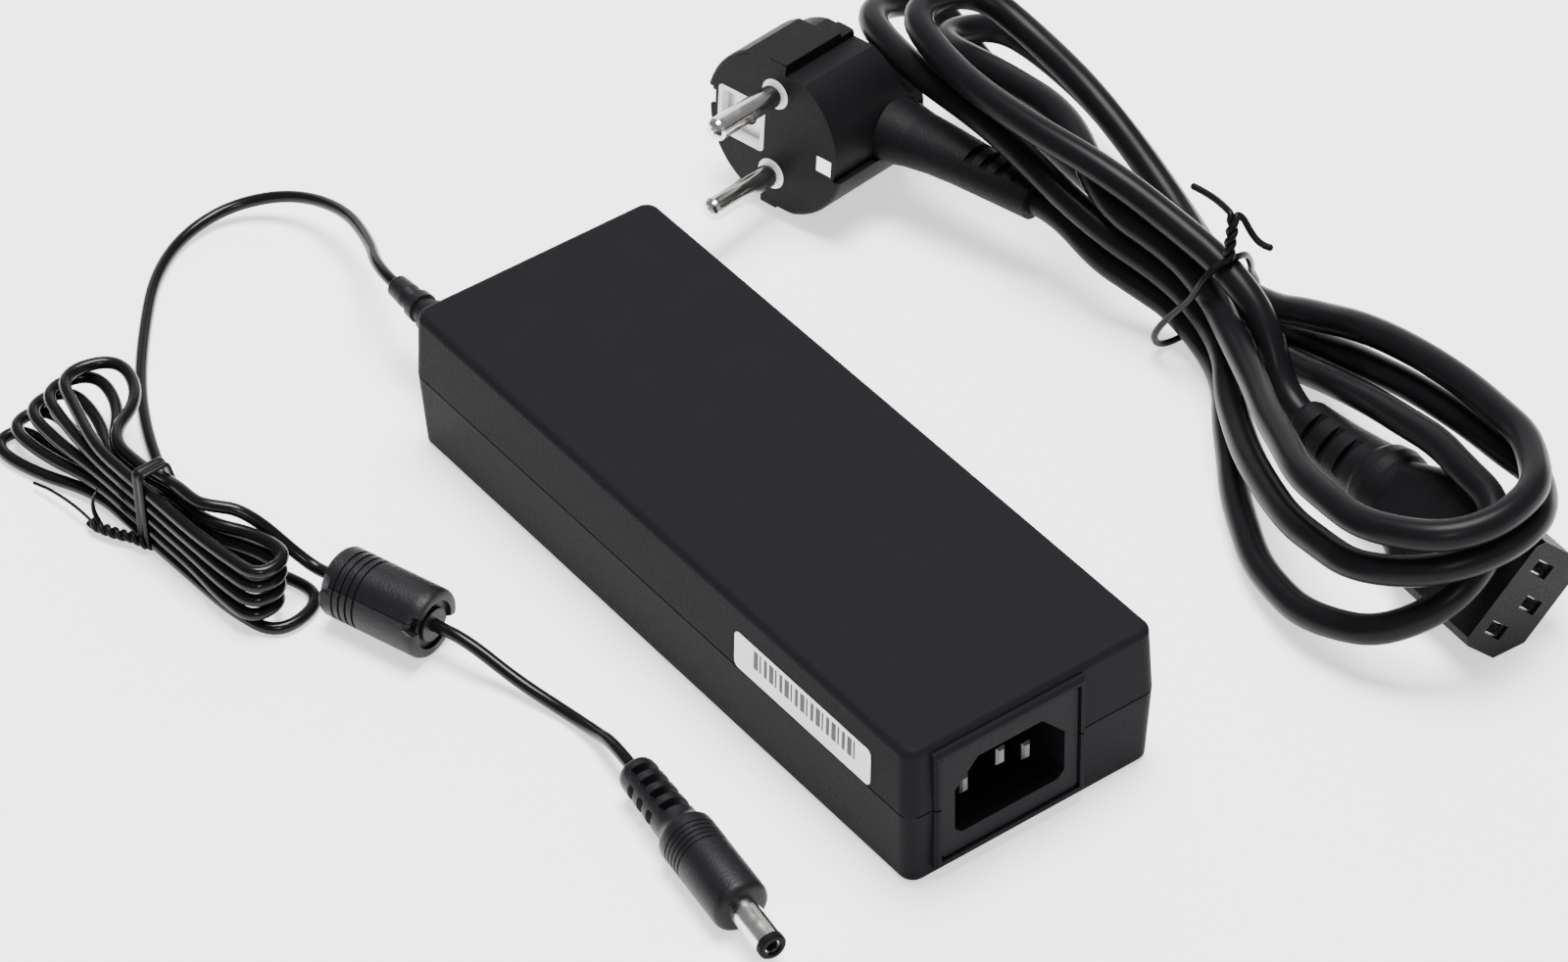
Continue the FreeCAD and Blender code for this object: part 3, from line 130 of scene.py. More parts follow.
DC_EAST = Vector((math.sin(DC_HEADING), -math.cos(DC_HEADING), 0))
DC_LOW = 1.27
DC_LIFT = 0.6
DC_PITCH = 3.1
DC_COLUMN = 1.7
DC_OUTER_COLUMN = 2 * DC_COLUMN + 1.5
DC_HALF = 10.0
DC_ENTRY = 2.0
# Each turn's lobe: its angle in degrees, how far it reaches from the waist, and its radius
DC_SOUTH_LOBES = [(12.0, 30.0, 6.6), (4.2, 28.9, 4.1), (5.4, 28.9, 4.1), (6.6, 28.9, 4.1), (7.8, 28.9, 4.1)]
DC_NORTH_LOBES = [(-7.0, 39.8, 3.7), (-1.0, 38.05, 4.35), (5.0, 36.3, 5.0), (11.0, 34.55, 5.65),
                  (17.0, 32.8, 6.3)]


def dc_waist(forward, across, level):
    """Place beside the tie, by how far forward and east of its middle it lies."""
    return DC_WAIST + DC_AHEAD * forward + DC_EAST * across + UP * (level + DC_LIFT)


def dc_lobe(side, shape, level):
    """The two ends of a half circle, ahead of the waist or behind it."""
    degrees, reach, radius = shape
    angle = math.radians(degrees)
    out = DC_AHEAD * (side * math.cos(angle)) + DC_EAST * math.sin(angle)
    across = UP.cross(out)
    centre = DC_WAIST + out * reach + UP * level
    return [directed(centre + across * radius, out), directed(centre - across * radius, -out)]


def dc_stations():
    """Loops of the tied lead, drawn in at the waist and one layer higher each turn."""
    last, before = Vector(DC_ARCH[-1]), Vector(DC_ARCH[-2])
    path = [directed(last, last - before), directed(dc_waist(DC_ENTRY, DC_OUTER_COLUMN, DC_LOW), -DC_AHEAD),
            directed(dc_waist(-DC_HALF, DC_OUTER_COLUMN, DC_LOW), -DC_AHEAD)]
    for turn, (south, north) in enumerate(zip(DC_SOUTH_LOBES, DC_NORTH_LOBES)):
        level = DC_LOW + DC_PITCH * turn
        path += dc_lobe(-1, south, level)
        path += [directed(dc_waist(-DC_HALF, -DC_COLUMN, level), DC_AHEAD),
                 directed(dc_waist(DC_HALF, -DC_COLUMN, level), DC_AHEAD)]
        path += dc_lobe(1, north, level)
        path += [directed(dc_waist(DC_HALF, DC_COLUMN, level), -DC_AHEAD),
                 directed(dc_waist(-DC_HALF, DC_COLUMN, level + DC_PITCH), -DC_AHEAD)]
    first, second = Vector(DC_LEAD[0]), Vector(DC_LEAD[1])
    return path + [directed(first, second - first)]


def make_dc_cord():
    points = DC_ARCH[:-1] + bends(dc_stations()) + DC_LEAD[1:] + DC_TAIL
    return cord_curve("dc_cord", points, DC_SIZE)


# Mains cord: from the plug's neck through three tied loops to the socket's boot
MAINS_SIZE = 6.0
PLUG_FACE = Vector((67.42, 91.02, 19.5))
PLUG_PINS = Vector((-0.972, -0.215, 0.096))
PLUG_CORD = Vector((0.216, -0.976, 0.0))
NECK_BACK = 19.0
NECK_END = 52.0
BOOT_TIP = Vector((102.5, -31.0, 9.8))
BOOT_OUT = Vector((0.03, 0.97, 0.12))
TIED_AT = 5.0
TIED_HALF = 11.0
WEST = 105.0
WEST_LEVELS = (4.35, 11.4, 18.45, 25.5)
WEST_RISE = 5.6
EAST = (111.9, 118.9, 114.6)
EAST_LEVELS = (4.35, 4.35, 12.3)
FAN_NORTH = math.radians(20)
FAN_SOUTH = math.radians(24)
SHIFT_NORTH = TIED_HALF * math.tan(FAN_NORTH / 2)
SHIFT_SOUTH = TIED_HALF * math.tan(FAN_SOUTH / 2)
SOUTH_LOBES = [
    ((91.5, -22.0, 4.0), (79.5, -39.5, 4.4), (71.5, -57.0, 5.0), (69.5, -73.0, 7.5), (75.0, -88.0, 13.0),
     (86.8, -94.0, 21.4), (98.5, -88.0, 25.8), (104.0, -70.0, 26.2), (107.0, -50.0, 21.5),
     (110.0, -33.0, 15.0), (112.0, -17.0, 8.5), (112.3, -5.0, 4.6)),
    ((92.0, -22.0, 11.8), (81.0, -43.0, 15.0), (74.5, -64.0, 19.0), (74.5, -81.5, 23.0), (83.8, -94.0, 27.5),
     (98.4, -96.4, 29.4), (110.5, -87.0, 27.0), (114.5, -69.0, 24.0), (115.0, -50.0, 22.0),
     (115.8, -33.0, 17.5), (117.8, -17.0, 11.0), (118.9, -5.0, 5.5)),
    ((95.0, -22.5, 20.5), (84.0, -43.5, 25.5), (76.0, -64.0, 29.5), (76.0, -81.5, 32.0), (85.5, -94.0, 34.5),
     (99.5, -94.5, 35.4), (111.0, -83.0, 33.4), (115.5, -66.0, 31.0), (116.5, -49.0, 29.0),
     (116.5, -32.0, 25.0), (116.0, -17.0, 19.0), (115.2, -5.0, 14.0)),
]
NORTH_LOBES = [
    ((122.0, 88.0, 8.0), (112.5, 107.0, 22.0), (96.0, 70.0, 28.2)),
    ((129.5, 76.0, 15.0), (119.5, 93.5, 20.0), (109.0, 60.0, 28.6)),
    ((122.0, 70.0, 26.0), (110.5, 90.5, 34.0), (95.6, 60.0, 35.6)),
]


def aimed(origin, along, up=UP):
    """Axes at a point: X along a direction, Z as near up as it can be."""
    along = Vector(along).normalized()
    across = up.cross(along).normalized()
    turn = Matrix((along, across, along.cross(across))).transposed().to_4x4()
    return Matrix.Translation(origin) @ turn


def through(places):
    """Stations at the inner places of a list, each heading from its neighbour to the next."""
    stations = []
    for before, place, after in zip(places, places[1:], places[2:]):
        near, far = (place - before).length, (after - place).length
        stations.append(directed(place, (place - before) * (far / near) + (after - place) * (near / far)))
    return stations


def west_pass(turn):
    """Downward slope of a turn on the tie's west side, heading south."""
    level = WEST_LEVELS[turn]
    return [directed((WEST - SHIFT_NORTH, TIED_AT + TIED_HALF, level + WEST_RISE),
                     (math.sin(FAN_NORTH), -math.cos(FAN_NORTH), -0.3)),
            directed((WEST - SHIFT_SOUTH, TIED_AT - TIED_HALF, level),
                     (-math.sin(FAN_SOUTH), -math.cos(FAN_SOUTH), 0.03 * turn))]


def east_pass(turn):
    """A turn's place on the tie's east side, heading north."""
    return directed((EAST[turn] + SHIFT_NORTH, TIED_AT + TIED_HALF, EAST_LEVELS[turn]),
                    (math.sin(FAN_NORTH), math.cos(FAN_NORTH), 0))


def south_lobe(turn):
    """Round the south end, through the listed points."""
    start, end = west_pass(turn)[-1][0], east_pass(turn)[0]
    return through([start] + [Vector(place) for place in SOUTH_LOBES[turn]] + [end])


def north_lobe(turn):
    """Two quarter turns from the east side, over the top, to the west side."""
    first, top, last = [Vector(place) for place in NORTH_LOBES[turn]]
    rise = math.pi / 4 * (abs(top.x - first.x) + abs(top.y - first.y))
    fall = math.pi / 4 * (abs(last.x - top.x) + abs(last.y - top.y))
    return [directed(first, (0, 1, 0.5 * (top.z - first.z) / rise)),
            directed(top, (-1, 0, (last.z - first.z) / (rise + fall))),
            directed(last, (0, -1, 0.5 * (last.z - top.z) / fall))]


def mains_stations():
    """Three loops drawn in at the tie, with fanned lobes to the south and north."""
    place, heading = west_pass(0)[0]
    path = [(place - heading * 6.0, heading)]
    for turn in range(len(SOUTH_LOBES)):
        path += west_pass(turn) + south_lobe(turn) + [east_pass(turn)] + north_lobe(turn)
    top = WEST_LEVELS[-1]
    arrive = directed((WEST - SHIFT_NORTH, TIED_AT + TIED_HALF, top + WEST_RISE), (0.24, -0.97, -0.3))
    leave = directed((WEST + 1.0, TIED_AT - TIED_HALF - 3.0, top - 1.6), (-0.02, -1, -0.45))
    return path + [arrive, leave]


RELIEF = aimed(PLUG_FACE, PLUG_PINS) @ Vector((-NECK_BACK, NECK_END, 0))


def make_mains_cord():
    stations = [directed(RELIEF, PLUG_CORD)] + mains_stations() + [directed(BOOT_TIP, -BOOT_OUT)]
    return cord_curve("mains_cord", [RELIEF] + bends(stations) + [BOOT_TIP], MAINS_SIZE)


# Smooth lines, and meshes along them
def smooth_line(points, steps=8):
    """Points of a smooth line through given ones."""
    places = [Vector(point) for point in points]
    places = [places[0] * 2 - places[1]] + places + [places[-1] * 2 - places[-2]]
    line = []
    for before, start, end, after in zip(places, places[1:], places[2:], places[3:]):
        slope = end - before
        bend = before * 2 - start * 5 + end * 4 - after
        rest = start * 3 - before - end * 3 + after
        for n in range(steps):
            t = n / steps
            line.append(0.5 * (start * 2 + slope * t + bend * t ** 2 + rest * t ** 3))
    return line + [places[-2]]


def even_line(line, step, passes=3):
    """The same line with its points an even distance apart and its corners eased."""
    spots = [line[0]]
    for place in line[1:]:
        while (place - spots[-1]).length >= step:
            spots.append(spots[-1] + (place - spots[-1]).normalized() * step)
    for _ in range(passes):
        inner = [(a + b * 2 + c) / 4 for a, b, c in zip(spots, spots[1:], spots[2:])]
        spots = [spots[0]] + inner + [spots[-1]]
    return spots


def frames_along(line):
    """Steady sideways and upward axes at each point of a line."""
    ways = []
    for n in range(len(line)):
        ways.append((line[min(n + 1, len(line) - 1)] - line[max(n - 1, 0)]).normalized())
    side = ways[0].orthogonal().normalized()
    axes = []
    for way in ways:
        side = (side - way * side.dot(way)).normalized()
        axes.append((side, way.cross(side)))
    return axes


def mesh_piece(name, vertices, faces, smooth=True, crease=None):
    """Piece from points in millimetres, with sharp edges where the angle passes the crease."""
    mesh = bpy.data.meshes.new(name)
    mesh.from_pydata([Vector(vertex) * MM for vertex in vertices], [], faces)
    mesh.validate()
    if smooth:
        mesh.shade_smooth()
    if crease:
        mesh.set_sharp_from_angle(angle=math.radians(crease))
    return link(name, mesh)


def ring_faces(rings, count, closed=True, flip=False):
    """Quads between each ring of points and the next."""
    faces = []
    for ring in range(rings - 1):
        here, there = ring * count, (ring + 1) * count
        for n in range(count if closed else count - 1):
            after = (n + 1) % count
            sides = (there + n, here + after) if flip else (here + after, there + n)
            faces.append((here + n, sides[0], there + after, sides[1]))
    return faces


DOME = ((0.75, 0.25), (0.55, 0.7), (0.25, 0.95))


def tube(line, radius, sides=10):
    """Round wire along a line, closed by a small dome at each end."""
    axes = frames_along(line)

    def dome(place, inner, pair):
        way = (place - inner).normalized()
        return [(place + way * radius * rise, pair, radius * wide) for rise, wide in DOME]

    rings = dome(line[0], line[1], axes[0]) + [(spot, pair, radius) for spot, pair in zip(line, axes)]
    rings += reversed(dome(line[-1], line[-2], axes[-1]))
    vertices = []
    for place, (side, up), wide in rings:
        for n in range(sides):
            angle = 2 * math.pi * n / sides
            vertices.append(place + side * (wide * math.cos(angle)) + up * (wide * math.sin(angle)))
    faces = [tuple(range(sides))[::-1]]
    faces += ring_faces(len(rings), sides)
    faces.append(tuple(len(vertices) - sides + n for n in range(sides)))
    return vertices, faces


def joined_mesh(name, parts):
    """One piece from several meshes."""
    vertices, faces = [], []
    for part_vertices, part_faces in parts:
        base = len(vertices)
        vertices += part_vertices
        faces += [tuple(base + n for n in face) for face in part_faces]
    return mesh_piece(name, vertices, faces)


def twisted(line, radius, pitch, phase):
    """One strand of a pair that is twisted along a line."""
    strand = []
    travelled = 0.0
    before = line[0]
    for place, (side, up) in zip(line, frames_along(line)):
        travelled += (place - before).length
        before = place
        angle = phase + 2 * math.pi * travelled / pitch
        strand.append(place + side * (radius * math.cos(angle)) + up * (radius * math.sin(angle)))
    return strand


# Wire tie round the mains cord
WIRE_SIZE = 1.4
WIRE_PITCH = 4.4
WIRE_STEP = 0.45
MAINS_TWIST = [(105.2, -4.4, 30.2), (105.6, -4.0, 32.4), (106.5, -3.4, 35.3), (107.2, -2.8, 37.4)]
MAINS_LOOP = [
    (104.4, -4.0, 29.7), (102.2, -3.3, 28.3), (100.5, -2.1, 25.2), (99.8, 0.2, 20.0), (98.8, 4.2, 14.0),
    (98.1, 7.0, 9.4), (98.3, 8.8, 5.6), (100.2, 9.8, 2.2), (103.6, 10.0, 0.75), (109.0, 10.0, 0.7),
    (116.0, 9.8, 0.7), (120.6, 9.4, 1.1), (122.9, 8.2, 4.2), (122.0, 6.2, 8.6), (118.6, 4.2, 15.0),
    (115.2, 0.6, 20.6), (110.6, -3.2, 27.6), (107.6, -4.4, 29.6), (106.0, -4.6, 30.0),
]
MAINS_LEFT_END = [
    (107.6, -2.0, 38.3), (107.9, 0.6, 38.4), (108.1, 3.6, 38.3), (107.9, 6.6, 38.2), (107.4, 9.2, 38.2),
]
MAINS_RIGHT_END = [
    (108.4, -2.4, 38.4), (109.5, -3.1, 37.2), (109.9, -4.3, 35.4), (110.3, -6.0, 33.6), (111.0, -7.6, 32.6),
    (112.0, -8.8, 32.2),
]


def make_mains_tie():
    """Coated wire round the waist, twisted on top, with two free ends."""
    pair = smooth_line(MAINS_TWIST, 14)
    down = twisted(pair, WIRE_SIZE / 2, WIRE_PITCH, math.pi)[::-1]
    up = twisted(pair, WIRE_SIZE / 2, WIRE_PITCH, 0.0)
    left = smooth_line(MAINS_LEFT_END)[::-1]
    right = smooth_line(MAINS_RIGHT_END)
    line = left + down + smooth_line(MAINS_LOOP) + up + right
    return mesh_piece("mains_wire_tie", *tube(even_line(line, WIRE_STEP), WIRE_SIZE / 2))


# Flat tie round the DC cord
DC_TIE_OUTLINE = [(-3.2, 0.5), (6.4, 0.5), (6.4, 5.5), (3.3, 18.9), (-3.2, 18.9)]
DC_TIE_CORNER = 1.2
DC_TIE_PROFILE = [
    (-1.7, 0.1), (-1.5, 0.36), (-0.95, 0.5), (-0.4, 0.42), (0.0, 0.16), (0.4, 0.42), (0.95, 0.5), (1.5, 0.36),
    (1.7, 0.1), (1.6, 0.0), (0.0, 0.0), (-1.6, 0.0),
]
DC_TWIST = [
    (-87.0, 81.6, 2.0), (-88.1, 84.3, 2.2), (-89.6, 86.9, 2.0), (-90.9, 89.2, 2.1), (-91.8, 91.8, 2.0),
    (-91.9, 93.5, 1.9),
]
DC_TWIST_RADIUS = 0.62
DC_TWIST_PITCH = 3.6
DC_FREE_WIRE = [
    (-91.9, 93.2, 2.0), (-92.3, 96.6, 2.6), (-92.8, 101.0, 2.6), (-93.6, 106.0, 2.2), (-94.6, 110.0, 1.6),
]
DC_FREE_RADIUS = 0.32
DC_STUB = [(-91.2, 91.6, 2.4), (-91.6, 92.2, 5.0), (-91.5, 92.2, 8.0), (-91.0, 91.7, 10.6)]
DC_STUB_WIDE = 1.6
DC_STUB_THICK = 0.45


def rounded_outline(corners, radius, steps=6):
    """Closed line with arcs at its corners."""
    line = []
    count = len(corners)
    for n, corner in enumerate(corners):
        here = Vector((corner[0], corner[1]))
        to_last = (Vector(corners[n - 1]) - here).normalized()
        to_next = (Vector(corners[(n + 1) % count]) - here).normalized()
        half = to_last.angle(to_next) / 2
        centre = here + (to_last + to_next).normalized() * (radius / math.sin(half))
        start = (here + to_last * (radius / math.tan(half))) - centre
        end = (here + to_next * (radius / math.tan(half))) - centre
        for step in range(steps + 1):
            line.append(centre + start.slerp(end, step / steps))
    return line


def ribbon(line, wide, thick):
    """Thin flat strip along a line, narrower and leaning a little towards its end."""
    vertices = []
    for n, place in enumerate(line):
        share = n / (len(line) - 1)
        lean = 0.5 * math.sin(share * math.pi)
        width = wide * (1.0 - 0.35 * share)
        for across, through in ((-0.5, -0.5), (0.5, -0.5), (0.5, 0.5), (-0.5, 0.5)):
            vertices.append(place + Vector((across * width * 0.8,
                                            across * width * 0.6 + lean + through * thick, 0)))
    last = len(vertices) - 4
    return vertices, ring_faces(len(line), 4) + [(0, 1, 2, 3), (last + 3, last + 2, last + 1, last)]


def dc_band():
    """Closed band of the tie's profile round the waist."""
    turn = Matrix.Rotation(DC_HEADING - math.pi / 2, 4, "Z")
    outline = rounded_outline(DC_TIE_OUTLINE, DC_TIE_CORNER)
    count = len(outline)
    vertices = []
    for n, spot in enumerate(outline):
        way = outline[(n + 1) % count] - outline[n - 1]
        outward = Vector((way.y, -way.x)).normalized()
        for offset, height in DC_TIE_PROFILE:
            place = Vector((spot.x + outward.x * height, offset, spot.y + outward.y * height))
            vertices.append(DC_WAIST + turn @ place)
    faces = ring_faces(count + 1, len(DC_TIE_PROFILE))
    return vertices, [tuple(n % len(vertices) for n in face) for face in faces]


def make_dc_tie():
    """Flat two-wire tie: a band round the waist, a twisted tail, one bare wire and a bent stub."""
    tail = smooth_line(DC_TWIST, 10)
    parts = [dc_band()]
    for phase in (0.0, math.pi):
        parts.append(tube(twisted(tail, DC_TWIST_RADIUS, DC_TWIST_PITCH, phase), DC_TWIST_RADIUS, 8))
    parts.append(tube(smooth_line(DC_FREE_WIRE), DC_FREE_RADIUS, 8))
    parts.append(ribbon(smooth_line(DC_STUB), DC_STUB_WIDE, DC_STUB_THICK))
    return joined_mesh("dc_flat_tie", parts)


# Label on the side wall
LABEL_FRONT = -66.5
LABEL_BACK = -26.2
LABEL_LOW = 17.3
LABEL_HIGH = 25.6
LABEL_CORNER = 1.3
LABEL_THICK = 0.12
BARS_FRONT = -62.0
BARS_BACK = -30.9
BARS_LOW = 20.5
BARS_HIGH = 24.7
BAR_WIDTH = 0.5
BAR_WIDTH_STEP = 0.42
BAR_GAP = 0.42
BAR_GAP_STEP = 0.2
OUTSIDE = -60.0
WALL_FACE = -28.3
CORNER_STEPS = 6


def bar_edges():
    """Edges of plain upright bars of three widths, in a made-up order."""
    edges = []
    place = BARS_FRONT
    n = 0
    while place < BARS_BACK - 1.0:
        width = BAR_WIDTH + BAR_WIDTH_STEP * (n * 5 % 3)
        gap = BAR_GAP + BAR_GAP_STEP * (n * 7 % 3)
        edges.append((place, place + width))
        place += width + gap
        n += 1
    return edges


def label_outline_drop(y):
    """How far the label's rounded ends draw in its upper and lower edges."""
    inward = min(y - LABEL_FRONT, LABEL_BACK - y)
    if inward >= LABEL_CORNER:
        return 0.0
    return LABEL_CORNER - math.sqrt(max(0.0, LABEL_CORNER ** 2 - (LABEL_CORNER - inward) ** 2))


def make_label():
    """Thin white label on the side wall, laid on the wall's own surface, with plain bars."""
    wall = nodes["top_cover"]
    bars = bar_edges()
    columns = {edge for bar in bars for edge in bar}
    for n in range(CORNER_STEPS + 1):
        inward = LABEL_CORNER * (1 - math.cos(math.pi / 2 * n / CORNER_STEPS))
        columns |= {LABEL_FRONT + inward, LABEL_BACK - inward}
    columns = sorted(columns)
    rows = (LABEL_LOW, BARS_LOW, BARS_HIGH, LABEL_HIGH)
    vertices, faces, inked = [], [], []
    for y in columns:
        drop = label_outline_drop(y)
        for z in (rows[0] + drop, rows[1], rows[2], rows[3] - drop):
            hit, place = wall.ray_cast(Vector((OUTSIDE, y, z)) * MM, Vector((1, 0, 0)))[:2]
            x = place.x / MM - LABEL_THICK if hit else WALL_FACE
            vertices += [(x, y, z), (x + LABEL_THICK, y, z)]
    count = 2 * len(rows)
    for n in range(len(columns) - 1):
        middle = (columns[n] + columns[n + 1]) / 2
        here, there = n * count, (n + 1) * count
        for m in range(len(rows) - 1):
            a, b = here + 2 * m, there + 2 * m
            faces.append((a, a + 2, b + 2, b))
            inked.append(m == 1 and any(front < middle < back for front, back in bars))
        faces.append((here, there, there + 1, here + 1))
        faces.append((there - 1, there + count - 1, there + count - 2, there - 2))
        inked += [False, False]
    end = len(vertices) - count
    for m in range(len(rows) - 1):
        faces.append((m * 2 + 1, m * 2 + 3, m * 2 + 2, m * 2))
        faces.append((end + m * 2, end + m * 2 + 2, end + m * 2 + 3, end + m * 2 + 1))
        inked += [False, False]
    label = mesh_piece("side_label", vertices, faces, smooth=False)
    for face, dark in zip(label.data.polygons, inked):
        face.material_index = int(dark)
    return label


# Ferrite shells and the DC plug's moulding, measured along them from their cord ends
FERRITE_START = Vector((-67.1, 48.1, 7.0))
FERRITE_END = Vector((-59.6, 25.0, 7.0))
FERRITE_TOP = Vector((0.5, 0.15, 0.85))
FERRITE_LONG = 24.3
FERRITE_RADIUS = 7.0
FERRITE_BORE = DC_SIZE / 2 + 0.1
FERRITE_GROOVES = (5.2, 6.8, 8.4, 10.0)
GROOVE_DEPTH = 0.35
GROOVE_SLOPE = 0.08
GROOVE_REACH = 0.5
# Place along the shell, radius, and the way that the split's notch cuts there
SHELL_START = [
    (2.0, FERRITE_BORE, 0), (2.0, 3.4, 0), (2.7, 3.4, 0), (2.7, FERRITE_RADIUS - 1.9, 0),
    (2.0, FERRITE_RADIUS - 1.8, 1), (2.0, FERRITE_RADIUS - 1.0, 1), (2.25, FERRITE_RADIUS - 0.35, 1),
    (2.9, FERRITE_RADIUS, 1), (4.4, FERRITE_RADIUS, 0),
]
SHELL_END = [
    (FERRITE_LONG - 2.6, FERRITE_RADIUS, 0), (FERRITE_LONG - 0.9, FERRITE_RADIUS, -1),
    (FERRITE_LONG - 0.25, FERRITE_RADIUS - 0.3, -1), (FERRITE_LONG, FERRITE_RADIUS - 0.9, -1),
    (FERRITE_LONG, FERRITE_RADIUS - 2.1, -1), (FERRITE_LONG - 0.8, FERRITE_RADIUS - 2.2, 0),
    (FERRITE_LONG - 0.8, 3.5, 0), (FERRITE_LONG - 0.15, 3.5, 0), (FERRITE_LONG, 3.3, 0),
    (FERRITE_LONG, FERRITE_BORE, 0),
]
SPLIT_GAP = 0.012
SPLIT_EDGE = 0.45
SHELL_SIDES = 22
NOTCH_DEPTH = 1.7
PLUG_RADIUS = 5.5
PLUG_LONG = 40.5
BARREL_RADIUS = 2.75
BARREL_DEPTH = 7.0
BOOT_RADIUS = 3.75
BOOT_TAPER = 0.006
BOOT_RINGS = 72
BOOT_FIRST = 2.3
BOOT_STEP = 0.2
BOOT_TIP_PROFILE = [(0.0, 2.3), (0.12, 2.9), (0.5, 3.4), (1.1, 3.65), (1.9, BOOT_RADIUS)]
SHOULDER_PROFILE = [(17.2, 4.25), (17.9, 4.5), (18.6, 5.0), (19.2, PLUG_RADIUS - 0.12), (19.8, PLUG_RADIUS)]
PLUG_END_PROFILE = [
    (29.0, PLUG_RADIUS), (PLUG_LONG - 1.5, PLUG_RADIUS), (PLUG_LONG - 0.7, PLUG_RADIUS - 0.2),
    (PLUG_LONG - 0.2, PLUG_RADIUS - 0.7), (PLUG_LONG, PLUG_RADIUS - 1.3), (PLUG_LONG, BARREL_RADIUS - 0.3),
    (PLUG_LONG - BARREL_DEPTH, BARREL_RADIUS - 0.3),
]
SLOT_FIRST = 2.5
SLOT_PITCH = 1.8
SLOT_WIDE = 2.0
SLOT_DEPTH = 1.7
SLOT_COUNT = 7
SLOT_FACING = 50
SLOT_EASE = 0.35
SLOT_SIDE = 0.2
SLOT_SIDE_EASE = 0.15
GRIP_FIRST = 21.4
GRIP_PITCH = 1.15
GRIP_DEPTH = 0.22
GRIP_SLOPE = 0.12
GRIP_COUNT = 5
PLUG_SIDES = 72


def around(matrix, rings, angles, closed):
    """Skin of rings round an axis; a ring is its place along the axis and a radius for each angle."""
    count = len(angles)
    vertices = []
    for along, radii in rings:
        for angle, (shift, radius) in zip(angles, radii):
            spot = Vector((along + shift, radius * math.cos(angle), radius * math.sin(angle)))
            vertices.append(matrix @ spot)
    faces = ring_faces(len(rings), count, closed, flip=True)
    starts = range(0, len(vertices), count)
    if closed:
        faces += [tuple(range(count)), tuple(starts[-1] + n for n in range(count))[::-1]]
    else:
        faces += [tuple(starts)[::-1], tuple(first + count - 1 for first in starts)]
    return vertices, faces


def groove(first, radius, depth, slope):
    """Profile of one ring groove with steep sides."""
    last = first + GROOVE_REACH
    return [(first, radius), (first + slope, radius - depth), (last, radius - depth), (last + slope, radius)]


def ferrite_shell(name, side):
    """Half of the snapped housing, with fine grooves and a notch at each end of the split."""
    profile = list(SHELL_START)
    for first in FERRITE_GROOVES:
        profile += [(*spot, 0) for spot in groove(first, FERRITE_RADIUS, GROOVE_DEPTH, GROOVE_SLOPE)]
    profile += SHELL_END
    near = [SPLIT_GAP, SPLIT_GAP + 0.2, SPLIT_GAP + 0.28]
    span = math.pi - 2 * SPLIT_EDGE
    angles = near + [SPLIT_EDGE + span * n / SHELL_SIDES for n in range(SHELL_SIDES + 1)]
    angles += [math.pi - angle for angle in near[::-1]]
    rings = []
    for along, radius, notch in profile:
        cut = (notch * NOTCH_DEPTH, radius)
        rings.append((along, [cut, cut] + [(0.0, radius)] * (len(angles) - 4) + [cut, cut]))
    rings.append(rings[0])
    matrix = aimed(FERRITE_START, FERRITE_END - FERRITE_START, FERRITE_TOP)
    return mesh_piece(name, *around(matrix, rings, [angle * side for angle in angles], False), crease=25)


def eased(value):
    """Smooth step from 0 to 1."""
    value = min(1.0, max(0.0, value))
    return value * value * (3 - 2 * value)


def slot_depth(along, angle):
    """Depth of the boot's slots at a place, which face one side and the other in turn."""
    depth = 0.0
    for row in range(SLOT_COUNT):
        begin = SLOT_FIRST + SLOT_PITCH * row
        inside = min(along - begin, begin + SLOT_WIDE - along)
        facing = math.cos(angle - math.radians(SLOT_FACING + 180 * (row % 2)))
        share = eased(inside / SLOT_EASE) * eased((facing - SLOT_SIDE) / SLOT_SIDE_EASE)
        depth = max(depth, SLOT_DEPTH * share)
    return depth


def make_plug_body():
    """Moulded body with fine grip rings and a boot whose slots alternate round it."""
    profile = list(BOOT_TIP_PROFILE)
    profile += [(BOOT_FIRST + BOOT_STEP * n, BOOT_RADIUS + BOOT_TAPER * n) for n in range(BOOT_RINGS)]
    profile += SHOULDER_PROFILE
    for n in range(GRIP_COUNT):
        profile += groove(GRIP_FIRST + GRIP_PITCH * n, PLUG_RADIUS, GRIP_DEPTH, GRIP_SLOPE)
    profile += PLUG_END_PROFILE
    angles = [2 * math.pi * n / PLUG_SIDES for n in range(PLUG_SIDES)]
    rings = []
    for along, radius in profile:
        rings.append((along, [(0.0, radius - slot_depth(along, angle)) for angle in angles]))
    last, before = Vector(DC_TAIL[-1]), Vector(DC_TAIL[-2])
    matrix = aimed(last, last - before)
    return mesh_piece("dc_plug_moulding", *around(matrix, rings, angles, True), crease=32)


# The pieces, the bodies that they ride on, and the free cords
nodes = frame["nodes"]
dc_cord = make_dc_cord()
upper_shell = ferrite_shell("ferrite_shell_upper", 1)
lower_shell = ferrite_shell("ferrite_shell_lower", -1)
plug_moulding = make_plug_body()
mains_cord = make_mains_cord()
mains_tie = make_mains_tie()
dc_tie = make_dc_tie()
side_label = make_label()
for piece, body in ((dc_cord, "adapter"), (mains_cord, "mains_lead"), (mains_tie, "mains_lead"),
                    (dc_tie, "adapter"), (side_label, "adapter"), (upper_shell, "adapter"),
                    (lower_shell, "adapter"), (plug_moulding, "adapter")):
    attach(piece, body)
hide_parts("dc_cord_arch", "dc_cord_hank", "dc_cord_lead", "dc_cord_core", "dc_cord_tail")
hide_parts("plug_cord", "mains_cord_hank", "connector_cord")
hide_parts("mains_tie")
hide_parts("dc_tie")
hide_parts("ferrite_cover_upper")
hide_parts("ferrite_cover_lower")
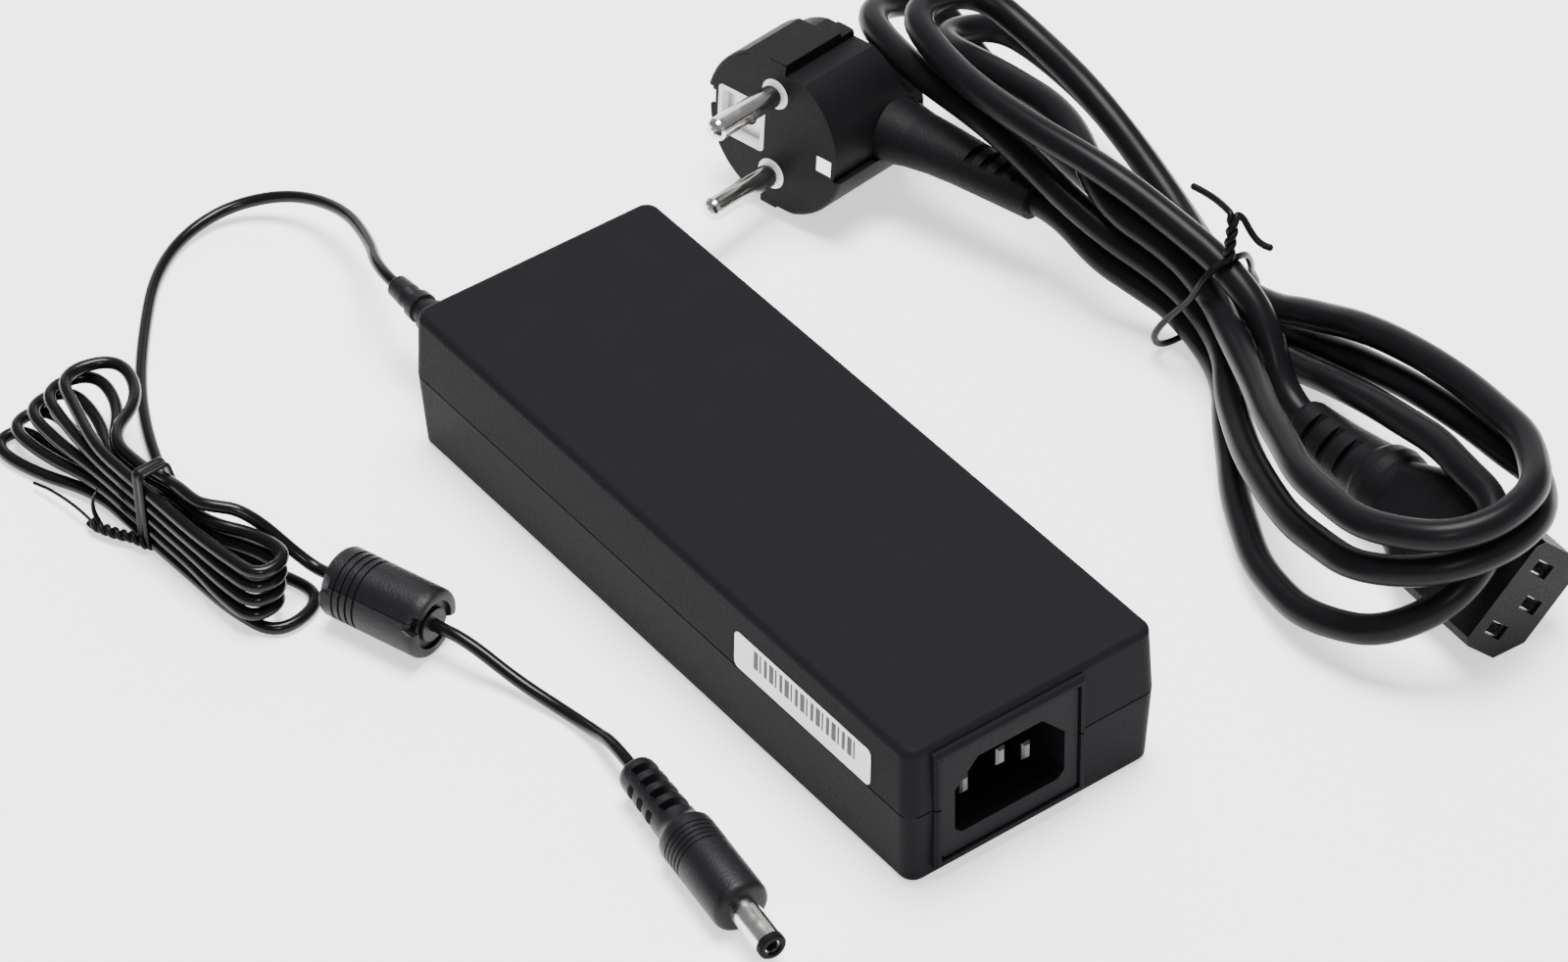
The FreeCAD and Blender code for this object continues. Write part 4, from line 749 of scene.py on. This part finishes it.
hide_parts("dc_plug_body")


# Floor and light
FLOOR_HALF = 3.0
FLOOR_DROP = 0.0001
FLOOR_GREY = 0.93
FLOOR_GLOW = 1.0
WORLD_STRENGTH = 0.25


def make_stage():
    mesh = bpy.data.meshes.new("floor")
    corners = [(x * FLOOR_HALF, y * FLOOR_HALF, 0) for x, y in ((-1, -1), (1, -1), (1, 1), (-1, 1))]
    mesh.from_pydata(corners, [], [(0, 1, 2, 3)])
    floor = link("floor", mesh)
    floor.location.z = -FLOOR_DROP
    mat = bpy.data.materials.new("floor_white")
    mat.use_nodes = True
    shader = mat.node_tree.nodes["Principled BSDF"]
    shader.inputs["Base Color"].default_value = (FLOOR_GREY, FLOOR_GREY, FLOOR_GREY, 1)
    shader.inputs["Roughness"].default_value = 0.9
    shader.inputs["Specular IOR Level"].default_value = 0.2
    shader.inputs["Emission Color"].default_value = (1, 1, 1, 1)
    shader.inputs["Emission Strength"].default_value = FLOOR_GLOW
    mesh.materials.append(mat)
    world = bpy.data.worlds.new("studio")
    world.use_nodes = True
    background = world.node_tree.nodes["Background"]
    background.inputs["Color"].default_value = (1, 1, 1, 1)
    background.inputs["Strength"].default_value = WORLD_STRENGTH
    scene.world = world


def area_light(name, place, target, size, power, tall=None):
    """Soft rectangular light at a place in metres, facing a target."""
    data = bpy.data.lights.new(name, "AREA")
    data.shape = "RECTANGLE"
    data.size = size
    data.size_y = tall or size
    data.energy = power
    light = link(name, data)
    way = Vector(place) - Vector(target)
    light.matrix_world = Matrix.Translation(place) @ way.to_track_quat("Z", "Y").to_matrix().to_4x4()


make_stage()
area_light("top_softbox", (0.2, 0.2, 2.0), (0, 0, 0), 1.0, 120.0)
area_light("back_wall", (1.3, 1.8, 0.9), (0, 0, 0.02), 3.0, 22.0, tall=1.3)
area_light("left_softbox", (-0.62, -0.9, 1.0), (0, 0, 0.02), 0.25, 6.0)
area_light("front_softbox", (0.5, -1.5, 0.8), (0.02, 0, 0.02), 0.8, 1.5)


# Materials
BROAD_SCALE = 90.0
NOISE_LOW = 0.3
NOISE_HIGH = 0.7


def material(name, colour, roughness, grain, depth, mottle=0.12, streak=0.06, metallic=0.0, specular=0.5):
    """Surface with a fine grain in its relief, slow change in its colour, and uneven gloss.

    Grain is the size of the relief and depth its height, in metres.
    """
    mat = bpy.data.materials.new(name)
    mat.use_nodes = True
    tree = mat.node_tree
    shader = tree.nodes["Principled BSDF"]
    shader.inputs["Metallic"].default_value = metallic
    shader.inputs["Specular IOR Level"].default_value = specular
    place = tree.nodes.new("ShaderNodeTexCoord")
    fine = tree.nodes.new("ShaderNodeTexNoise")
    fine.inputs["Scale"].default_value = 1 / grain
    fine.inputs["Detail"].default_value = 3.0
    broad = tree.nodes.new("ShaderNodeTexNoise")
    broad.inputs["Scale"].default_value = BROAD_SCALE
    broad.inputs["Detail"].default_value = 4.0
    for noise in (fine, broad):
        tree.links.new(place.outputs["Object"], noise.inputs["Vector"])
    bump = tree.nodes.new("ShaderNodeBump")
    bump.inputs["Distance"].default_value = depth
    bump.inputs["Strength"].default_value = 1.0
    tree.links.new(fine.outputs["Fac"], bump.inputs["Height"])
    tree.links.new(bump.outputs["Normal"], shader.inputs["Normal"])
    ramp = tree.nodes.new("ShaderNodeValToRGB")
    ramp.color_ramp.elements[0].position = NOISE_LOW
    ramp.color_ramp.elements[1].position = NOISE_HIGH
    for element, step in zip(ramp.color_ramp.elements, (1 - mottle, 1 + mottle)):
        element.color = (*[min(1.0, channel * step) for channel in colour], 1)
    tree.links.new(broad.outputs["Fac"], ramp.inputs["Fac"])
    tree.links.new(ramp.outputs["Color"], shader.inputs["Base Color"])
    gloss = tree.nodes.new("ShaderNodeMapRange")
    gloss.inputs["From Min"].default_value = NOISE_LOW
    gloss.inputs["From Max"].default_value = NOISE_HIGH
    gloss.inputs["To Min"].default_value = roughness - streak
    gloss.inputs["To Max"].default_value = roughness + streak
    tree.links.new(fine.outputs["Fac"], gloss.inputs["Value"])
    tree.links.new(gloss.outputs["Result"], shader.inputs["Roughness"])
    return mat


def paint(item, mat):
    """Give a piece or node this one material."""
    if item.material_slots:
        for slot in item.material_slots:
            slot.material = mat
    else:
        item.data.materials.append(mat)


LOOKS = {
    "casing": material("casing_plastic", (0.0080, 0.0077, 0.0092), 0.48, 0.0005, 0.0001, mottle=0.03,
                       streak=0.01, specular=0.022),
    "inlet": material("inlet_plastic", (0.0050, 0.0047, 0.0061), 0.5, 0.0004, 0.00003, specular=0.05),
    "nickel": material("nickel", (0.74, 0.72, 0.70), 0.2, 0.002, 0.000004, mottle=0.05, metallic=1.0),
    "board": material("board_laminate", (0.03, 0.16, 0.06), 0.4, 0.0006, 0.00001),
    "sheet": material("insulating_film", (0.75, 0.62, 0.3), 0.4, 0.0006, 0.00001),
    "aluminium": material("aluminium", (0.6, 0.6, 0.62), 0.35, 0.0005, 0.00001, metallic=1.0),
    "device": material("device_epoxy", (0.02, 0.02, 0.022), 0.5, 0.0004, 0.00001),
    "can": material("can_sleeve", (0.015, 0.02, 0.05), 0.3, 0.0005, 0.00001),
    "film": material("capacitor_case", (0.55, 0.38, 0.05), 0.4, 0.0005, 0.00001),
    "ferrite": material("ferrite", (0.05, 0.05, 0.055), 0.6, 0.0004, 0.00002),
    "winding": material("copper_winding", (0.5, 0.2, 0.07), 0.3, 0.0005, 0.00002, metallic=1.0),
    "glass": material("fuse_ceramic", (0.7, 0.7, 0.66), 0.2, 0.0008, 0.00001),
    "steel": material("steel", (0.5, 0.5, 0.52), 0.3, 0.0005, 0.00001, metallic=1.0),
    "cord": material("dc_cord_pvc", (0.0042, 0.004, 0.0048), 0.2, 0.006, 0.00001, streak=0.02,
                     specular=0.16),
    "boot": material("moulded_pvc", (0.0062, 0.0058, 0.0072), 0.42, 0.00045, 0.00008, specular=0.14),
    "white": material("white_insert", (0.9, 0.9, 0.89), 0.35, 0.0006, 0.000006, mottle=0.03),
    "tie": material("tie_coating", (0.005, 0.005, 0.0058), 0.34, 0.002, 0.00001, specular=0.08),
    "bronze": material("spring_metal", (0.5, 0.5, 0.49), 0.3, 0.0006, 0.00001, metallic=1.0),
}
mains_pvc = material("mains_cord_pvc", (0.0052, 0.005, 0.006), 0.33, 0.006, 0.00001, streak=0.02,
                     specular=0.075)
plug_pvc = material("plug_pvc", (0.0048, 0.0045, 0.0054), 0.5, 0.0004, 0.0001, streak=0.1, specular=0.08)
# Blade metal: a near-black metal colour, painted shade standing in for the shade that falls on the blades
# inside the inlet's recess
blade_metal_painted_shade = material("blade_metal_painted_shade", (0.085, 0.085, 0.085), 0.35, 0.0008, 0.000004, metallic=1.0)
label_ink = material("label_ink", (0.008, 0.008, 0.009), 0.5, 0.0004, 0.000004)

for entry in frame["record"]["subparts"]:
    paint(nodes[entry["node"]], LOOKS[entry["material_slot"]])
for name in ("mains_plug_body", "connector_body"):
    paint(nodes[name], plug_pvc)
# The inlet's blades get the near-black metal with its painted shade
for name in ("inlet_line_blade", "inlet_neutral_blade", "inlet_earth_blade"):
    paint(nodes[name], blade_metal_painted_shade)
paint(nodes["dc_plug_insulator"], LOOKS["inlet"])
paint(dc_cord, LOOKS["cord"])
paint(mains_cord, mains_pvc)
paint(mains_tie, LOOKS["tie"])
paint(dc_tie, LOOKS["tie"])
for piece in (upper_shell, lower_shell, plug_moulding):
    paint(piece, LOOKS["boot"])
side_label.data.materials.append(LOOKS["white"])
side_label.data.materials.append(label_ink)
